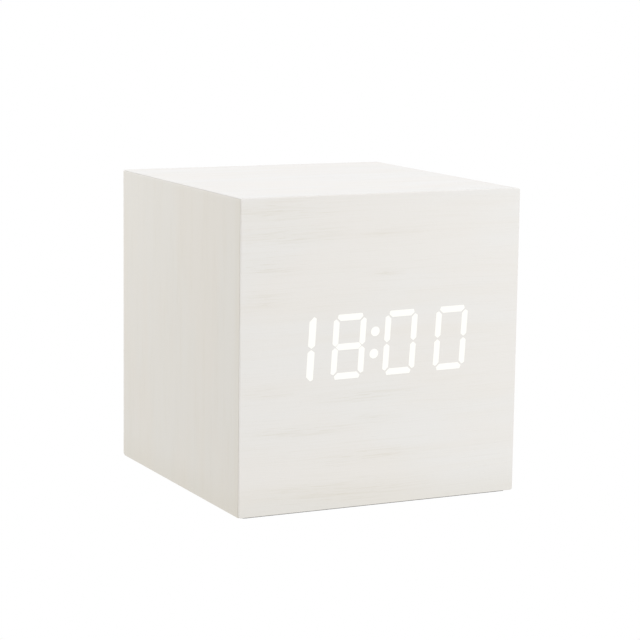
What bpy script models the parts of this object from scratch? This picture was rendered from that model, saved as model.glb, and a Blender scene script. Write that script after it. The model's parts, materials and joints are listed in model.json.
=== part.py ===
"""Cube desk clock: a box of white-washed veneered board whose LED digits shine through its front veneer.

Blender units are metres and +Z is up. The origin is the centre of the plane that the clock stands on, the
front is towards -Y, and +X is to the right of someone who faces it. Every dimension below is in
millimetres, and MM scales it where a shape is made.

Run it with: blender --background --python part.py
"""

import math

import bmesh
import bpy
from mathutils import Matrix, Vector

MM = 0.001

# ---------------------------------------------------------------- driving dimensions
SIDE = 68.0  # outer width and depth of the wooden box
HEIGHT = 68.8  # its height, without base and feet
WALL = 5.0  # board with its veneer
VENEER = 0.6  # the front and rear sheets that cover the board ends
EDGE_ROUND = 0.5  # sanded outer edges
GLUE = 0.06  # glue line or solder between two joined pieces
GAP = 0.1  # between pieces that only touch
CLEARANCE = 0.2  # around a piece that sits in an opening
PAST = 1.0  # how far a cutter runs past the faces it cuts

FOOT_STANDOFF = 0.3  # rubber feet below the base plate
BASE_REVEAL = 0.40  # base plate below the wooden box
BASE_INSET = 1.2  # base plate inside the box's outline
BASE_PLATE = 2.0
BASE_CORNER = 0.8  # radius of the base plate's corners

DISPLAY_X = -2.0  # middle of the four digits, seen from the front
DISPLAY_RISE = 35.9  # the same, above the box's lower edge
DIGIT_HEIGHT = 14.2
DIGIT_WIDTH = 7.95
DIGIT_PITCH = 12.62
FIRST_DIGIT_SHIFT = 0.5  # the first digit stands a little closer to the second
SEGMENT = 1.42  # width of a segment
SEGMENT_GAP = 0.3
SEGMENT_CHAMFER = 0.7  # cut off a digit's outer corners
SLANT = math.radians(4.0)
COLON_DIAMETER = 2.2
COLON_SPACING = 4.9

CELL_RADIUS = 5.25  # size AAA
CELL_LENGTH = 44.5
CELL_PITCH = 11.2
CELL_Z = 7.75

PANEL_RECESS = 1.5  # control panel below the rear face
BUTTON_RADIUS = 3.0
BUTTON_PROUD = 1.0
BUTTON_X = {"set_button": 14.0, "down_button": 4.5, "up_button": -5.0}
SWITCH_SIDE = 6.0
SWITCH_HEIGHT = 3.5
PLUNGER_RISE = 0.8

# ---------------------------------------------------------------- dimensions that follow from them
HALF = SIDE / 2
CAVITY = HALF - WALL
BOX_BOTTOM = FOOT_STANDOFF + BASE_REVEAL
BOX_TOP = BOX_BOTTOM + HEIGHT
BOARD_END = HALF - VENEER - GLUE  # where the boards stop behind the front and rear veneers
BASE_HALF = HALF - BASE_INSET
BASE_TOP = FOOT_STANDOFF + BASE_PLATE
REBATE = BASE_HALF + 0.15  # the walls' lower edges are cut back to here
REBATE_TOP = BASE_TOP + GAP

PILOT_END = 32.4  # depth of the screw holes in the front and rear boards, from the middle of the clock
BOARD_THICKNESS = 1.6  # circuit boards
DISPLAY_Z = BOX_BOTTOM + DISPLAY_RISE
MASK_HALF = (25.2, 9.3)  # the light mask's block, which fills the front board's window
FLANGE_HALF = (26.4, 14.0)  # its flange, and the circuit board behind it
DISPLAY_SCREW = (23.6, 11.7)
DISPLAY_SCREW_LENGTH = 5.7
FILM = 0.3
FILM_FRONT = -BOARD_END
MASK_FRONT = FILM_FRONT + FILM + GLUE
MASK_FLANGE = 1.0
FLANGE_FRONT = -CAVITY + GLUE
FLANGE_BACK = FLANGE_FRONT + MASK_FLANGE
DISPLAY_BOARD_FRONT = FLANGE_BACK + GLUE
DISPLAY_BOARD_BACK = DISPLAY_BOARD_FRONT + BOARD_THICKNESS
LED = (0.9, 0.7)  # side and height of an LED chip

BAY_HALF = (24.6, 16.9)  # battery bay, inside
BAY_TOP = 13.3
BAY_WALL = 1.2
DOOR_HALF = (26.2, 18.6)
DOOR_TOP = FOOT_STANDOFF + 1.6
LEDGE = DOOR_TOP + GAP  # what the door closes against
COLLAR_HALF = (28.5, 20.0)  # thicker rim around the door
COLLAR_TOP = 3.5
HINGE = (-DOOR_HALF[0], 0.0, FOOT_STANDOFF + 0.1)
TAB_PLACES = (-9.0, 9.0)  # along Y
TAB_HALF_WIDTH = 2.5
TAB_REACH = 1.2  # past the door's edge
TAB_Z = (1.0, 1.8)
LATCH_HALF_WIDTH = 2.5
LATCH_Z = (1.1, 1.7)
CONTACT = 0.4
CONTACT_FACE = BAY_HALF[0] - 0.05 - CONTACT  # the side of a contact plate that faces its cell

FOOT_RADIUS = 2.8
FOOT_TOP = 1.2
FOOT_AT = 28.6
BASE_SCREW_AT = (24.0, 24.8)
BASE_SCREW_LENGTH = 7.5
SCREW_WELL = 1.4  # depth of the wells that sink the base screws' heads
BLOCK = (8.3, 7.9)  # corner blocks, along X and Y
BLOCK_TOP = 11.0

PANEL_FACE = HALF - PANEL_RECESS
PANEL_WALL = 1.6
PANEL_Z = 24.0
TUB_HALF = (22.0, 9.0)
TUB_ROUND = 1.5
PANEL_FLANGE = (27.3, CAVITY - GLUE)  # the flange behind the rear board, along Y
BUTTON_Z = 20.5
VENT_Z = 28.5
VENT_X = 6.0
USB_X = -15.0
STEM_END = PANEL_FACE - 3.3
MAIN_BOARD_BACK = STEM_END - 0.05 - PLUNGER_RISE - SWITCH_HEIGHT
MAIN_BOARD_FRONT = MAIN_BOARD_BACK - BOARD_THICKNESS
MAIN_BOARD_HALF_X = 25.5
MAIN_BOARD_Z = (12.2, 43.0)
REAR_SCREWS = ((-23.0, 14.4), (23.0, 14.4), (-23.0, 39.5), (23.0, 39.5))
REAR_SCREW_LENGTH = 9.0
USB_HALF = (4.5, 1.65)
MICROPHONE_RADIUS = 3.0
MICROPHONE_HOLE = 0.6

SCREW_SHAFT = 0.8
SCREW_HEAD = 1.6
SCREW_HEAD_HEIGHT = 1.1
SCREW_TIP = 1.0  # length of the point
SCREW_HOLE = 0.95

ROUND_STEPS = 4  # points on a quarter of a rounded corner
ROUND_SIDES = 20  # sides of a round piece
FINE_SIDES = 40  # sides of a round piece that is seen from outside


# ---------------------------------------------------------------- scene, collections and materials
def start_scene():
    for obj in list(bpy.data.objects):
        bpy.data.objects.remove(obj, do_unlink=True)
    made = []
    for name in ("cube_clock", "cutters"):
        collection = bpy.data.collections.new(name)
        bpy.context.scene.collection.children.link(collection)
        made.append(collection)
    return made


PARTS, CUTTERS = start_scene()


def finish(name, colour, roughness, metallic=0.0):
    made = bpy.data.materials.new(name)
    made.use_nodes = True
    shader = made.node_tree.nodes["Principled BSDF"]
    shader.inputs["Base Color"].default_value = (*colour, 1.0)
    shader.inputs["Roughness"].default_value = roughness
    shader.inputs["Metallic"].default_value = metallic
    made.diffuse_color = (*colour, 1.0)
    return made


VENEER_WHITE = finish("whitewashed_veneer", (0.82, 0.80, 0.76), 0.5)
MDF = finish("fibreboard", (0.55, 0.42, 0.29), 0.85)
BLACK_ABS = finish("black_plastic", (0.02, 0.02, 0.022), 0.45)
RUBBER = finish("rubber_foot", (0.05, 0.05, 0.05), 0.8)
STEEL = finish("screw_steel", (0.55, 0.55, 0.56), 0.35, 1.0)
NICKEL = finish("contact_nickel", (0.72, 0.70, 0.66), 0.25, 1.0)
CELL_JACKET = finish("cell_jacket", (0.10, 0.22, 0.38), 0.35)
BOARD_GREEN = finish("circuit_board", (0.03, 0.20, 0.10), 0.4)
MASK_WHITE = finish("light_mask", (0.85, 0.85, 0.83), 0.6)
FILM_WHITE = finish("diffuser_film", (0.90, 0.90, 0.88), 0.7)
CHIP_BLACK = finish("component_black", (0.03, 0.03, 0.03), 0.5)
CAN_METAL = finish("component_can", (0.70, 0.70, 0.70), 0.3, 1.0)
PLUNGER_BROWN = finish("switch_plunger", (0.10, 0.07, 0.05), 0.5)
THERMISTOR_BEAD = finish("thermistor_bead", (0.02, 0.05, 0.03), 0.4)
WIRE_RED = finish("wire_red", (0.60, 0.03, 0.03), 0.45)
WIRE_BLACK = finish("wire_black", (0.02, 0.02, 0.02), 0.45)
RIBBON_GREY = finish("ribbon_grey", (0.45, 0.45, 0.46), 0.55)


# ---------------------------------------------------------------- making shapes
def add_object(name, mesh, material, location=(0.0, 0.0, 0.0)):
    """Links an object made of mesh. With no material it is a cutter, or a shape to be joined to a part."""
    obj = bpy.data.objects.new(name, mesh)
    obj.location = Vector(location) * MM
    if material is None:
        CUTTERS.objects.link(obj)
        obj.hide_render = True
        obj.display_type = "WIRE"
    else:
        PARTS.objects.link(obj)
        mesh.materials.clear()
        mesh.materials.append(material)
    return obj


def smooth(mesh):
    """Shades round sides smooth, and keeps real edges sharp."""
    mesh.shade_smooth()
    mesh.set_sharp_from_angle(angle=math.radians(35))


def boxes(name, spans, material=None):
    """One mesh that holds a box for each (low corner, high corner)."""
    shape = bmesh.new()
    for low, high in spans:
        size = [(b - a) * MM for a, b in zip(low, high)]
        centre = [(a + b) / 2 * MM for a, b in zip(low, high)]
        place = Matrix.Translation(centre) @ Matrix.Diagonal((*size, 1.0))
        bmesh.ops.create_cube(shape, size=1.0, matrix=place)
    mesh = bpy.data.meshes.new(name)
    shape.to_mesh(mesh)
    shape.free()
    return add_object(name, mesh, material)


def box(name, low, high, material=None):
    centre = [(a + b) / 2 for a, b in zip(low, high)]
    obj = boxes(name, [(low, high)], material)
    set_origin(obj, centre)
    return obj


def rods(name, radius, ends, material=None, segments=ROUND_SIDES):
    """One mesh that holds a cylinder for each (start, end)."""
    shape = bmesh.new()
    for start, end in ends:
        start, end = Vector(start) * MM, Vector(end) * MM
        turn = (end - start).to_track_quat("Z", "Y").to_matrix().to_4x4()
        bmesh.ops.create_cone(
            shape,
            cap_ends=True,
            segments=segments,
            radius1=radius * MM,
            radius2=radius * MM,
            depth=(end - start).length,
            matrix=Matrix.Translation((start + end) / 2) @ turn,
        )
    mesh = bpy.data.meshes.new(name)
    shape.to_mesh(mesh)
    shape.free()
    smooth(mesh)
    return add_object(name, mesh, material)


def turned(name, profile, origin, direction, material=None, steps=ROUND_SIDES):
    """A shape turned about direction. The profile's (radius, height) points run down its outer side."""
    mesh = bpy.data.meshes.new(name)
    points = [(radius * MM, 0.0, height * MM) for radius, height in profile]
    mesh.from_pydata(points, [(i, i + 1) for i in range(len(points) - 1)], [])
    obj = add_object(name, mesh, material, origin)
    obj.rotation_mode = "QUATERNION"
    obj.rotation_quaternion = Vector(direction).to_track_quat("Z", "Y")
    screw = obj.modifiers.new("Turn", "SCREW")
    screw.axis = "Z"
    screw.steps = steps
    screw.render_steps = steps
    screw.use_merge_vertices = True
    screw.merge_threshold = 0.00001
    return obj


PLANES = {  # what an outline's own axes become when it is extruded along X, Y or Z
    "X": Matrix(((0, 0, 1, 0), (1, 0, 0, 0), (0, 1, 0, 0), (0, 0, 0, 1))),
    "Y": Matrix(((1, 0, 0, 0), (0, 0, -1, 0), (0, 1, 0, 0), (0, 0, 0, 1))),
    "Z": Matrix.Identity(4),
}


def curve_to_mesh(drawn, name, material):
    """The curve as a closed mesh object. The curve is removed."""
    bpy.context.view_layer.update()
    graph = bpy.context.evaluated_depsgraph_get()
    mesh = bpy.data.meshes.new_from_object(drawn.evaluated_get(graph))
    mesh.name = name
    shape = bmesh.new()
    shape.from_mesh(mesh)
    bmesh.ops.remove_doubles(shape, verts=shape.verts, dist=0.000001)
    shape.to_mesh(mesh)
    shape.free()
    smooth(mesh)
    obj = add_object(name, mesh, material)
    obj.matrix_world = drawn.matrix_world.copy()
    bpy.data.objects.remove(drawn, do_unlink=True)
    return obj


def plate(name, loops, axis, span, material=None):
    """Closed (u, v) loops filled and extruded along axis over span; a loop inside another is a hole."""
    curve = bpy.data.curves.new(name, "CURVE")
    curve.dimensions = "2D"
    curve.fill_mode = "BOTH"
    curve.extrude = (span[1] - span[0]) / 2 * MM
    for loop in loops:
        spline = curve.splines.new("POLY")
        spline.points.add(len(loop) - 1)
        spline.use_cyclic_u = True
        for point, (u, v) in zip(spline.points, loop):
            point.co = (u * MM, v * MM, 0.0, 1.0)
    drawn = bpy.data.objects.new(name + "_outline", curve)
    bpy.context.scene.collection.objects.link(drawn)
    middle = Vector([(span[0] + span[1]) / 2 * MM if axis == letter else 0.0 for letter in "XYZ"])
    drawn.matrix_world = Matrix.Translation(middle) @ PLANES[axis]
    return curve_to_mesh(drawn, name, material)


def wire(name, points, radius, material=None):
    """A round wire through the points."""
    curve = bpy.data.curves.new(name, "CURVE")
    curve.dimensions = "3D"
    curve.bevel_depth = radius * MM
    curve.bevel_resolution = 1
    curve.use_fill_caps = True
    spline = curve.splines.new("POLY")
    spline.points.add(len(points) - 1)
    for point, place in zip(spline.points, points):
        point.co = (*(Vector(place) * MM), 1.0)
    drawn = bpy.data.objects.new(name + "_path", curve)
    bpy.context.scene.collection.objects.link(drawn)
    return curve_to_mesh(drawn, name, material)


def rounded_rectangle(centre, half, radius):
    """Anticlockwise points of a rectangle with round corners."""
    points = []
    for corner in range(4):
        side_u = 1 if corner in (0, 3) else -1
        side_v = 1 if corner in (0, 1) else -1
        pivot = (centre[0] + side_u * (half[0] - radius), centre[1] + side_v * (half[1] - radius))
        for step in range(ROUND_STEPS + 1):
            angle = math.pi / 2 * (corner + step / ROUND_STEPS)
            points.append((pivot[0] + radius * math.cos(angle), pivot[1] + radius * math.sin(angle)))
    return points


def circle(centre, radius, steps=16):
    angles = [2 * math.pi * step / steps for step in range(steps)]
    return [(centre[0] + radius * math.cos(a), centre[1] + radius * math.sin(a)) for a in angles]


def bezier(start, leave, arrive, end, steps):
    """Points along a cubic curve."""
    points = []
    for step in range(steps + 1):
        t = step / steps
        weights = ((1 - t) ** 3, 3 * t * (1 - t) ** 2, 3 * t * t * (1 - t), t**3)
        corners = (start, leave, arrive, end)
        points.append(sum((weight * corner for weight, corner in zip(weights, corners)), Vector()))
    return points


# ---------------------------------------------------------------- changing shapes
def boolean(obj, other, operation):
    modifier = obj.modifiers.new(other.name, "BOOLEAN")
    modifier.operation = operation
    modifier.object = other
    modifier.solver = "EXACT"


def cut(obj, *cutters):
    for cutter in cutters:
        boolean(obj, cutter, "DIFFERENCE")


def join(obj, *others):
    for other in others:
        boolean(obj, other, "UNION")


def bevel(obj, width):
    """Breaks the object's sharp edges."""
    modifier = obj.modifiers.new("Bevel", "BEVEL")
    modifier.width = width * MM
    modifier.segments = 1
    modifier.limit_method = "ANGLE"
    modifier.angle_limit = math.radians(40)


def set_origin(obj, origin):
    """Moves the object's origin, and leaves its shape where it is."""
    origin = Vector(origin) * MM
    obj.data.transform(Matrix.Translation(obj.location - origin))
    obj.location = origin


def assembly(name, origin, parts):
    """Parents parts to an empty at origin, without moving them."""
    empty = bpy.data.objects.new(name, None)
    empty.location = Vector(origin) * MM
    empty.empty_display_size = 10 * MM
    PARTS.objects.link(empty)
    bpy.context.view_layer.update()
    for part in parts:
        part.parent = empty
        part.matrix_parent_inverse = empty.matrix_world.inverted()


def screw(name, head_at, direction, length):
    """A pan-head screw with a cross recess. Its head rests at head_at, and its shaft runs along direction."""
    top = SCREW_HEAD_HEIGHT
    profile = [
        (0.0, top),
        (SCREW_HEAD * 0.6, top),
        (SCREW_HEAD, top * 0.45),
        (SCREW_HEAD, 0.0),
        (SCREW_SHAFT, 0.0),
        (SCREW_SHAFT, SCREW_TIP - length),
        (SCREW_SHAFT / 4, -length),
        (0.0, -length),
    ]
    made = turned(name, profile, head_at, -Vector(direction), STEEL, steps=16)
    outward = -Vector(direction).normalized()
    across = Vector((1, 0, 0)) if abs(outward.x) < 0.5 else Vector((0, 1, 0))
    arms = (across, outward.cross(across))
    half_length, half_width, depth = 1.0, 0.25, 0.6
    spans = []
    for arm, other in (arms, arms[::-1]):
        reach = arm * half_length + other * half_width
        low_end, high_end = outward * (top - depth), outward * (top + PAST)
        ends = [Vector(head_at) - reach + low_end, Vector(head_at) + reach + high_end]
        low = [min(end[axis] for end in ends) for axis in range(3)]
        high = [max(end[axis] for end in ends) for axis in range(3)]
        spans.append((low, high))
    for index, span in enumerate(spans):
        cut(made, boxes(f"{name}_recess_{index}", [span]))
    return made


# ---------------------------------------------------------------- wooden case
def corner_arc(side, start, end):
    """Points of the rounded top corner on side -1 or 1, from one angle to another, in degrees."""
    pivot = (HALF - EDGE_ROUND, BOX_TOP - EDGE_ROUND)
    points = []
    for step in range(3):
        angle = math.radians(start + (end - start) * step / 2)
        reach_u = pivot[0] + EDGE_ROUND * math.cos(angle)
        points.append((side * reach_u, pivot[1] + EDGE_ROUND * math.sin(angle)))
    return points


def side_panel(name, side):
    """Left or right board: mitred at the top, and rebated for the base plate between its lower corners."""
    low_mitre = (side * CAVITY, BOX_TOP - WALL - GLUE)
    outer = [(u, v - GLUE) for u, v in corner_arc(side, 0.0, 45.0)]
    outline = [
        (side * HALF, BOX_BOTTOM),
        *outer,
        low_mitre,
        (side * CAVITY, REBATE_TOP),
        (side * REBATE, REBATE_TOP),
        (side * REBATE, BOX_BOTTOM),
    ]
    panel = plate(name, [outline], "Y", (-BOARD_END, BOARD_END), VENEER_WHITE)
    corners = []
    for end in (-1, 1):
        xs = sorted((side * (CAVITY + GAP), side * (REBATE + PAST / 2)))
        ys = sorted((end * REBATE, end * (BOARD_END - GLUE)))
        corners.append(((xs[0], ys[0], BOX_BOTTOM + GLUE), (xs[1], ys[1], REBATE_TOP + PAST)))
    join(panel, boxes(name + "_corners", corners))
    return panel


def top_panel():
    right = corner_arc(1, 45.0, 90.0)
    left = [(-u, v) for u, v in reversed(right)]
    outline = [(CAVITY, BOX_TOP - WALL), *right, *left, (-CAVITY, BOX_TOP - WALL)]
    return plate("top_panel", [outline], "Y", (-BOARD_END, BOARD_END), VENEER_WHITE)


def end_board(name, side):
    """The fibreboard behind the front (side -1) or rear (side 1) veneer."""
    outline = [
        (side * BOARD_END, BOX_BOTTOM),
        (side * BOARD_END, BOX_TOP - WALL - GLUE),
        (side * CAVITY, BOX_TOP - WALL - GLUE),
        (side * CAVITY, REBATE_TOP),
        (side * REBATE, REBATE_TOP),
        (side * REBATE, BOX_BOTTOM),
    ]
    return plate(name, [outline], "X", (GLUE - CAVITY, CAVITY - GLUE), MDF)


def end_veneer(name, side, holes=()):
    middle = (0.0, BOX_BOTTOM + HEIGHT / 2)
    loops = [rounded_rectangle(middle, (HALF, HEIGHT / 2), EDGE_ROUND), *holes]
    span = sorted((side * HALF, side * (HALF - VENEER)))
    return plate(name, loops, "Y", span, VENEER_WHITE)


def tub_outline(margin):
    """Outline of the part of the control panel that comes through the rear, grown by margin."""
    half = (TUB_HALF[0] + margin, TUB_HALF[1] + margin)
    return rounded_rectangle((0.0, PANEL_Z), half, TUB_ROUND + margin)


def corner_block(name, side_x, side_y):
    """A glued block that takes a base screw."""
    edge = CAVITY - GLUE
    xs = sorted((side_x * edge, side_x * (edge - BLOCK[0])))
    ys = sorted((side_y * edge, side_y * (edge - BLOCK[1])))
    block = box(name, (xs[0], ys[0], REBATE_TOP), (xs[1], ys[1], BLOCK_TOP), MDF)
    x, y = side_x * BASE_SCREW_AT[0], side_y * BASE_SCREW_AT[1]
    pilot_top = BLOCK_TOP - 1.5
    cut(block, rods(name + "_pilot", SCREW_HOLE, [((x, y, 0.0), (x, y, pilot_top))]))
    return block


CORNERS = (("front_left", -1, -1), ("front_right", 1, -1), ("rear_left", -1, 1), ("rear_right", 1, 1))


def build_case():
    parts = [side_panel("left_panel", -1), side_panel("right_panel", 1), top_panel()]

    front_board = end_board("front_board", -1)
    window = tuple(half + CLEARANCE for half in MASK_HALF)
    opening = rounded_rectangle((DISPLAY_X, DISPLAY_Z), window, 0.5)
    cut(front_board, plate("display_window", [opening], "Y", (-HALF, PAST - CAVITY)))
    pilots = [((x, -PILOT_END, z), (x, PAST - CAVITY, z)) for x, z in display_screw_places()]
    cut(front_board, rods("display_pilots", SCREW_HOLE, pilots, segments=12))
    parts += [front_board, end_veneer("front_veneer", -1)]

    rear_board = end_board("rear_board", 1)
    cut(rear_board, plate("panel_opening", [tub_outline(CLEARANCE)], "Y", (CAVITY - PAST, HALF)))
    pilots = [((x, CAVITY - PAST, z), (x, PILOT_END, z)) for x, z in REAR_SCREWS]
    cut(rear_board, rods("panel_pilots", SCREW_HOLE, pilots, segments=12))
    parts += [rear_board, end_veneer("rear_veneer", 1, [tub_outline(CLEARANCE)])]

    parts += [corner_block("corner_block_" + place, x, y) for place, x, y in CORNERS]
    assembly("case", (0.0, 0.0, BOX_BOTTOM), parts)


# ---------------------------------------------------------------- base, feet and battery door
def slab(name, half, span, radius, material=None):
    return plate(name, [rounded_rectangle((0.0, 0.0), half, radius)], "Z", span, material)


def recess_half():
    return tuple(half + CLEARANCE for half in DOOR_HALF)


def cut_door_seat(tray):
    """The door's recess, slots for its tabs, a notch for its latch and a scoop for a fingertip."""
    cut(tray, slab("door_recess", recess_half(), (-PAST, LEDGE), 0.8))
    slots = []
    for y in TAB_PLACES:
        reach = TAB_HALF_WIDTH + 0.3
        tip, root = -DOOR_HALF[0] - TAB_REACH - CLEARANCE, -DOOR_HALF[0] + TAB_REACH
        slots.append(((tip, y - reach, TAB_Z[0] - 0.05), (root, y + reach, TAB_Z[1] + 1.0)))
    cut(tray, boxes("tab_slots", slots))
    edge, reach = recess_half()[0], LATCH_HALF_WIDTH + 0.8
    notch = ((edge - 0.4, -reach, LATCH_Z[0] - CLEARANCE), (edge + 0.8, reach, LEDGE - 0.05))
    cut(tray, boxes("latch_notch", [notch]))
    scoop = ((edge + 0.8, 0.0, -PAST), (edge + 0.8, 0.0, LATCH_Z[0] - CLEARANCE))
    cut(tray, rods("finger_scoop", 4.0, [scoop], segments=FINE_SIDES))


def base_tray():
    """Base plate with the battery bay standing on it, all one moulding."""
    tray = slab("base_tray", (BASE_HALF, BASE_HALF), (FOOT_STANDOFF, BASE_TOP), BASE_CORNER, BLACK_ABS)
    inside_plate = FOOT_STANDOFF + 0.5
    join(tray, slab("bay_collar", COLLAR_HALF, (inside_plate, COLLAR_TOP), 1.0))
    outer = tuple(half + BAY_WALL for half in BAY_HALF)
    join(tray, slab("bay_walls", outer, (inside_plate, BAY_TOP + BAY_WALL), 1.0))
    cut(tray, slab("bay_hollow", BAY_HALF, (-PAST, BAY_TOP), 0.6))
    cut_door_seat(tray)

    feet = [(x * FOOT_AT, y * FOOT_AT) for _, x, y in CORNERS]
    sockets = [((x, y, -PAST), (x, y, FOOT_TOP + 0.05)) for x, y in feet]
    cut(tray, rods("foot_sockets", FOOT_RADIUS + 0.15, sockets, segments=FINE_SIDES))
    screws = [(x * BASE_SCREW_AT[0], y * BASE_SCREW_AT[1]) for _, x, y in CORNERS]
    through = [((x, y, -PAST), (x, y, COLLAR_TOP + PAST)) for x, y in screws]
    cut(tray, rods("base_screw_holes", SCREW_HOLE, through, segments=16))
    wells = [((x, y, -PAST), (x, y, FOOT_STANDOFF + SCREW_WELL)) for x, y in screws]
    cut(tray, rods("screw_head_wells", SCREW_HEAD + CLEARANCE, wells, segments=FINE_SIDES))

    slot_half = (TAIL_HALF_WIDTH + 0.4, CONTACT / 2 + 0.4)
    roof = []
    for x, y in TAIL_PLACES:
        low = (x - slot_half[1], y - slot_half[0], BAY_TOP - PAST)
        roof.append((low, (x + slot_half[1], y + slot_half[0], BAY_TOP + BAY_WALL + PAST)))
    cut(tray, boxes("tail_slots", roof))
    rib_half, rib_length, rib_drop = 0.3, 19.0, 2.6
    ribs = []
    for y in (-CELL_PITCH / 2, CELL_PITCH / 2):
        low = (-rib_length, y - rib_half, BAY_TOP - rib_drop)
        ribs.append((low, (rib_length, y + rib_half, BAY_TOP + BAY_WALL / 2)))
    join(tray, boxes("cell_ribs", ribs))
    return tray


def battery_door():
    """A flush door: two tabs at its hinge end, a latch nib and grip grooves at the other."""
    door = slab("battery_door", DOOR_HALF, (FOOT_STANDOFF, DOOR_TOP), 0.8, BLACK_ABS)
    edge = DOOR_HALF[0]
    tabs = []
    for y in TAB_PLACES:
        low = (-edge - TAB_REACH, y - TAB_HALF_WIDTH, TAB_Z[0])
        tabs.append((low, (-edge + 2.0, y + TAB_HALF_WIDTH, TAB_Z[1])))
    join(door, boxes("door_tabs", tabs))
    nib = ((edge - 1.0, -LATCH_HALF_WIDTH, LATCH_Z[0]), (edge + 0.15, LATCH_HALF_WIDTH, LATCH_Z[1]))
    join(door, boxes("latch_nib", [nib]))

    relief_half, relief_length = 0.3, 6.7  # the slits beside the latch arm
    slits = []
    for y in (-LATCH_HALF_WIDTH - 2.0, LATCH_HALF_WIDTH + 2.0):
        low = (edge - relief_length, y - relief_half, -PAST)
        slits.append((low, (edge + PAST, y + relief_half, DOOR_TOP + PAST)))
    cut(door, boxes("latch_slits", slits))
    first, pitch, width, half_length, depth = 14.0, 1.8, 0.8, 7.0, 0.35
    grooves = []
    for row in range(4):
        x = first - pitch * row
        grooves.append(((x, -half_length, -PAST), (x + width, half_length, FOOT_STANDOFF + depth)))
    cut(door, boxes("grip_grooves", grooves))
    set_origin(door, HINGE)
    return door


def rubber_foot(name, x, y):
    chamfer = 0.25
    radius = FOOT_RADIUS
    profile = [(0.0, FOOT_TOP), (radius, FOOT_TOP), (radius, chamfer), (radius - chamfer, 0.0), (0.0, 0.0)]
    return turned(name, profile, (x, y, 0.0), (0, 0, 1), RUBBER, FINE_SIDES)


def build_base():
    parts = [base_tray(), battery_door()]
    for place, side_x, side_y in CORNERS:
        parts.append(rubber_foot("rubber_foot_" + place, side_x * FOOT_AT, side_y * FOOT_AT))
        head = (side_x * BASE_SCREW_AT[0], side_y * BASE_SCREW_AT[1], FOOT_STANDOFF + SCREW_WELL - GAP)
        parts.append(screw("base_screw_" + place, head, (0, 0, 1), BASE_SCREW_LENGTH))
    assembly("base", (0.0, 0.0, FOOT_STANDOFF), parts)


# ---------------------------------------------------------------- cells and contacts
CELL_Y = (-CELL_PITCH, 0.0, CELL_PITCH)
TAIL_X = CONTACT_FACE + CONTACT / 2
TAIL_PLACES = ((-TAIL_X, CELL_Y[0]), (TAIL_X, CELL_Y[2]))
TAIL_HALF_WIDTH = 1.0
TAIL_TOP = 17.0
CELL_GAP = 0.3  # between a cell's ends and the contacts that face them, at rest


def cell(name, y, towards):
    """A size AAA cell whose positive end points towards -X or +X."""
    nub_radius, shoulder, crimp, chamfer = 1.9, CELL_LENGTH - 0.8, 0.6, 0.4
    profile = [
        (0.0, CELL_LENGTH),
        (nub_radius, CELL_LENGTH),
        (nub_radius, shoulder),
        (CELL_RADIUS - crimp, shoulder),
        (CELL_RADIUS, shoulder - crimp),
        (CELL_RADIUS, chamfer),
        (CELL_RADIUS - chamfer, 0.0),
        (0.0, 0.0),
    ]
    negative_end = -towards * (CELL_LENGTH + CELL_GAP - CONTACT_FACE)
    return turned(name, profile, (negative_end, y, CELL_Z), (towards, 0, 0), CELL_JACKET)


def spring(name, side, y):
    """A conical coil from the contact plate on side -1 or 1 to the cell's negative end."""
    turns, flat_turns, steps_a_turn, wire_radius = 3.5, 0.5, 10, 0.3
    wide, narrow = 3.3, 2.2
    start = CONTACT_FACE + wire_radius / 3
    end = CELL_LENGTH - CONTACT_FACE + CELL_GAP + wire_radius + GAP
    count = round(turns * steps_a_turn)
    points = []
    for step in range(count + 1):
        share = step / count
        rise = (share * turns - flat_turns) / (turns - 2 * flat_turns)
        rise = min(1.0, max(0.0, rise))
        radius = wide + (narrow - wide) * share
        angle = 2 * math.pi * turns * share
        x = side * (start + (end - start) * rise)
        points.append((x, y + radius * math.cos(angle), CELL_Z + radius * math.sin(angle)))
    return wire(name, points, wire_radius)


def contact(name, side, cells, sprung, tail):
    """A sheet-metal plate on the bay's end wall that spans cells, with a spring on the cells in sprung."""
    near, far = side * CONTACT_FACE, side * (CONTACT_FACE + CONTACT)
    reach, pip_height, pip_radius = 4.2, 0.2, 1.6
    low = (min(near, far), CELL_Y[cells[0]] - reach, CELL_Z - reach)
    high = (max(near, far), CELL_Y[cells[-1]] + reach, CELL_Z + reach)
    made = box(name, low, high, NICKEL)
    for index in cells:
        y = CELL_Y[index]
        if index in sprung:
            join(made, spring(f"{name}_spring", side, y))
        else:
            pip = [((far, y, CELL_Z), (near - side * pip_height, y, CELL_Z))]
            join(made, rods(f"{name}_pip", pip_radius, pip, segments=16))
    if tail:
        y = CELL_Y[cells[0]]
        strip = ((low[0], y - TAIL_HALF_WIDTH, CELL_Z), (high[0], y + TAIL_HALF_WIDTH, TAIL_TOP))
        join(made, boxes(f"{name}_tail", [strip]))
    return made


def lead(name, tail, board_end, material):
    """An insulated lead from a contact's tail to the front of the main board."""
    radius = 0.55
    x, y = tail
    inward = -1 if x > 0 else 1
    start = Vector((x + inward * (CONTACT / 2 + GAP + radius), y, TAIL_TOP - 0.8))
    leave = start + Vector((inward * 5, 0, 9))
    end = Vector((board_end[0], MAIN_BOARD_FRONT - 3 * GAP, board_end[1]))
    arrive = end + Vector((0, -9, 3))
    return wire(name, bezier(start, leave, arrive, end, 16), radius, material)


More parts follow.
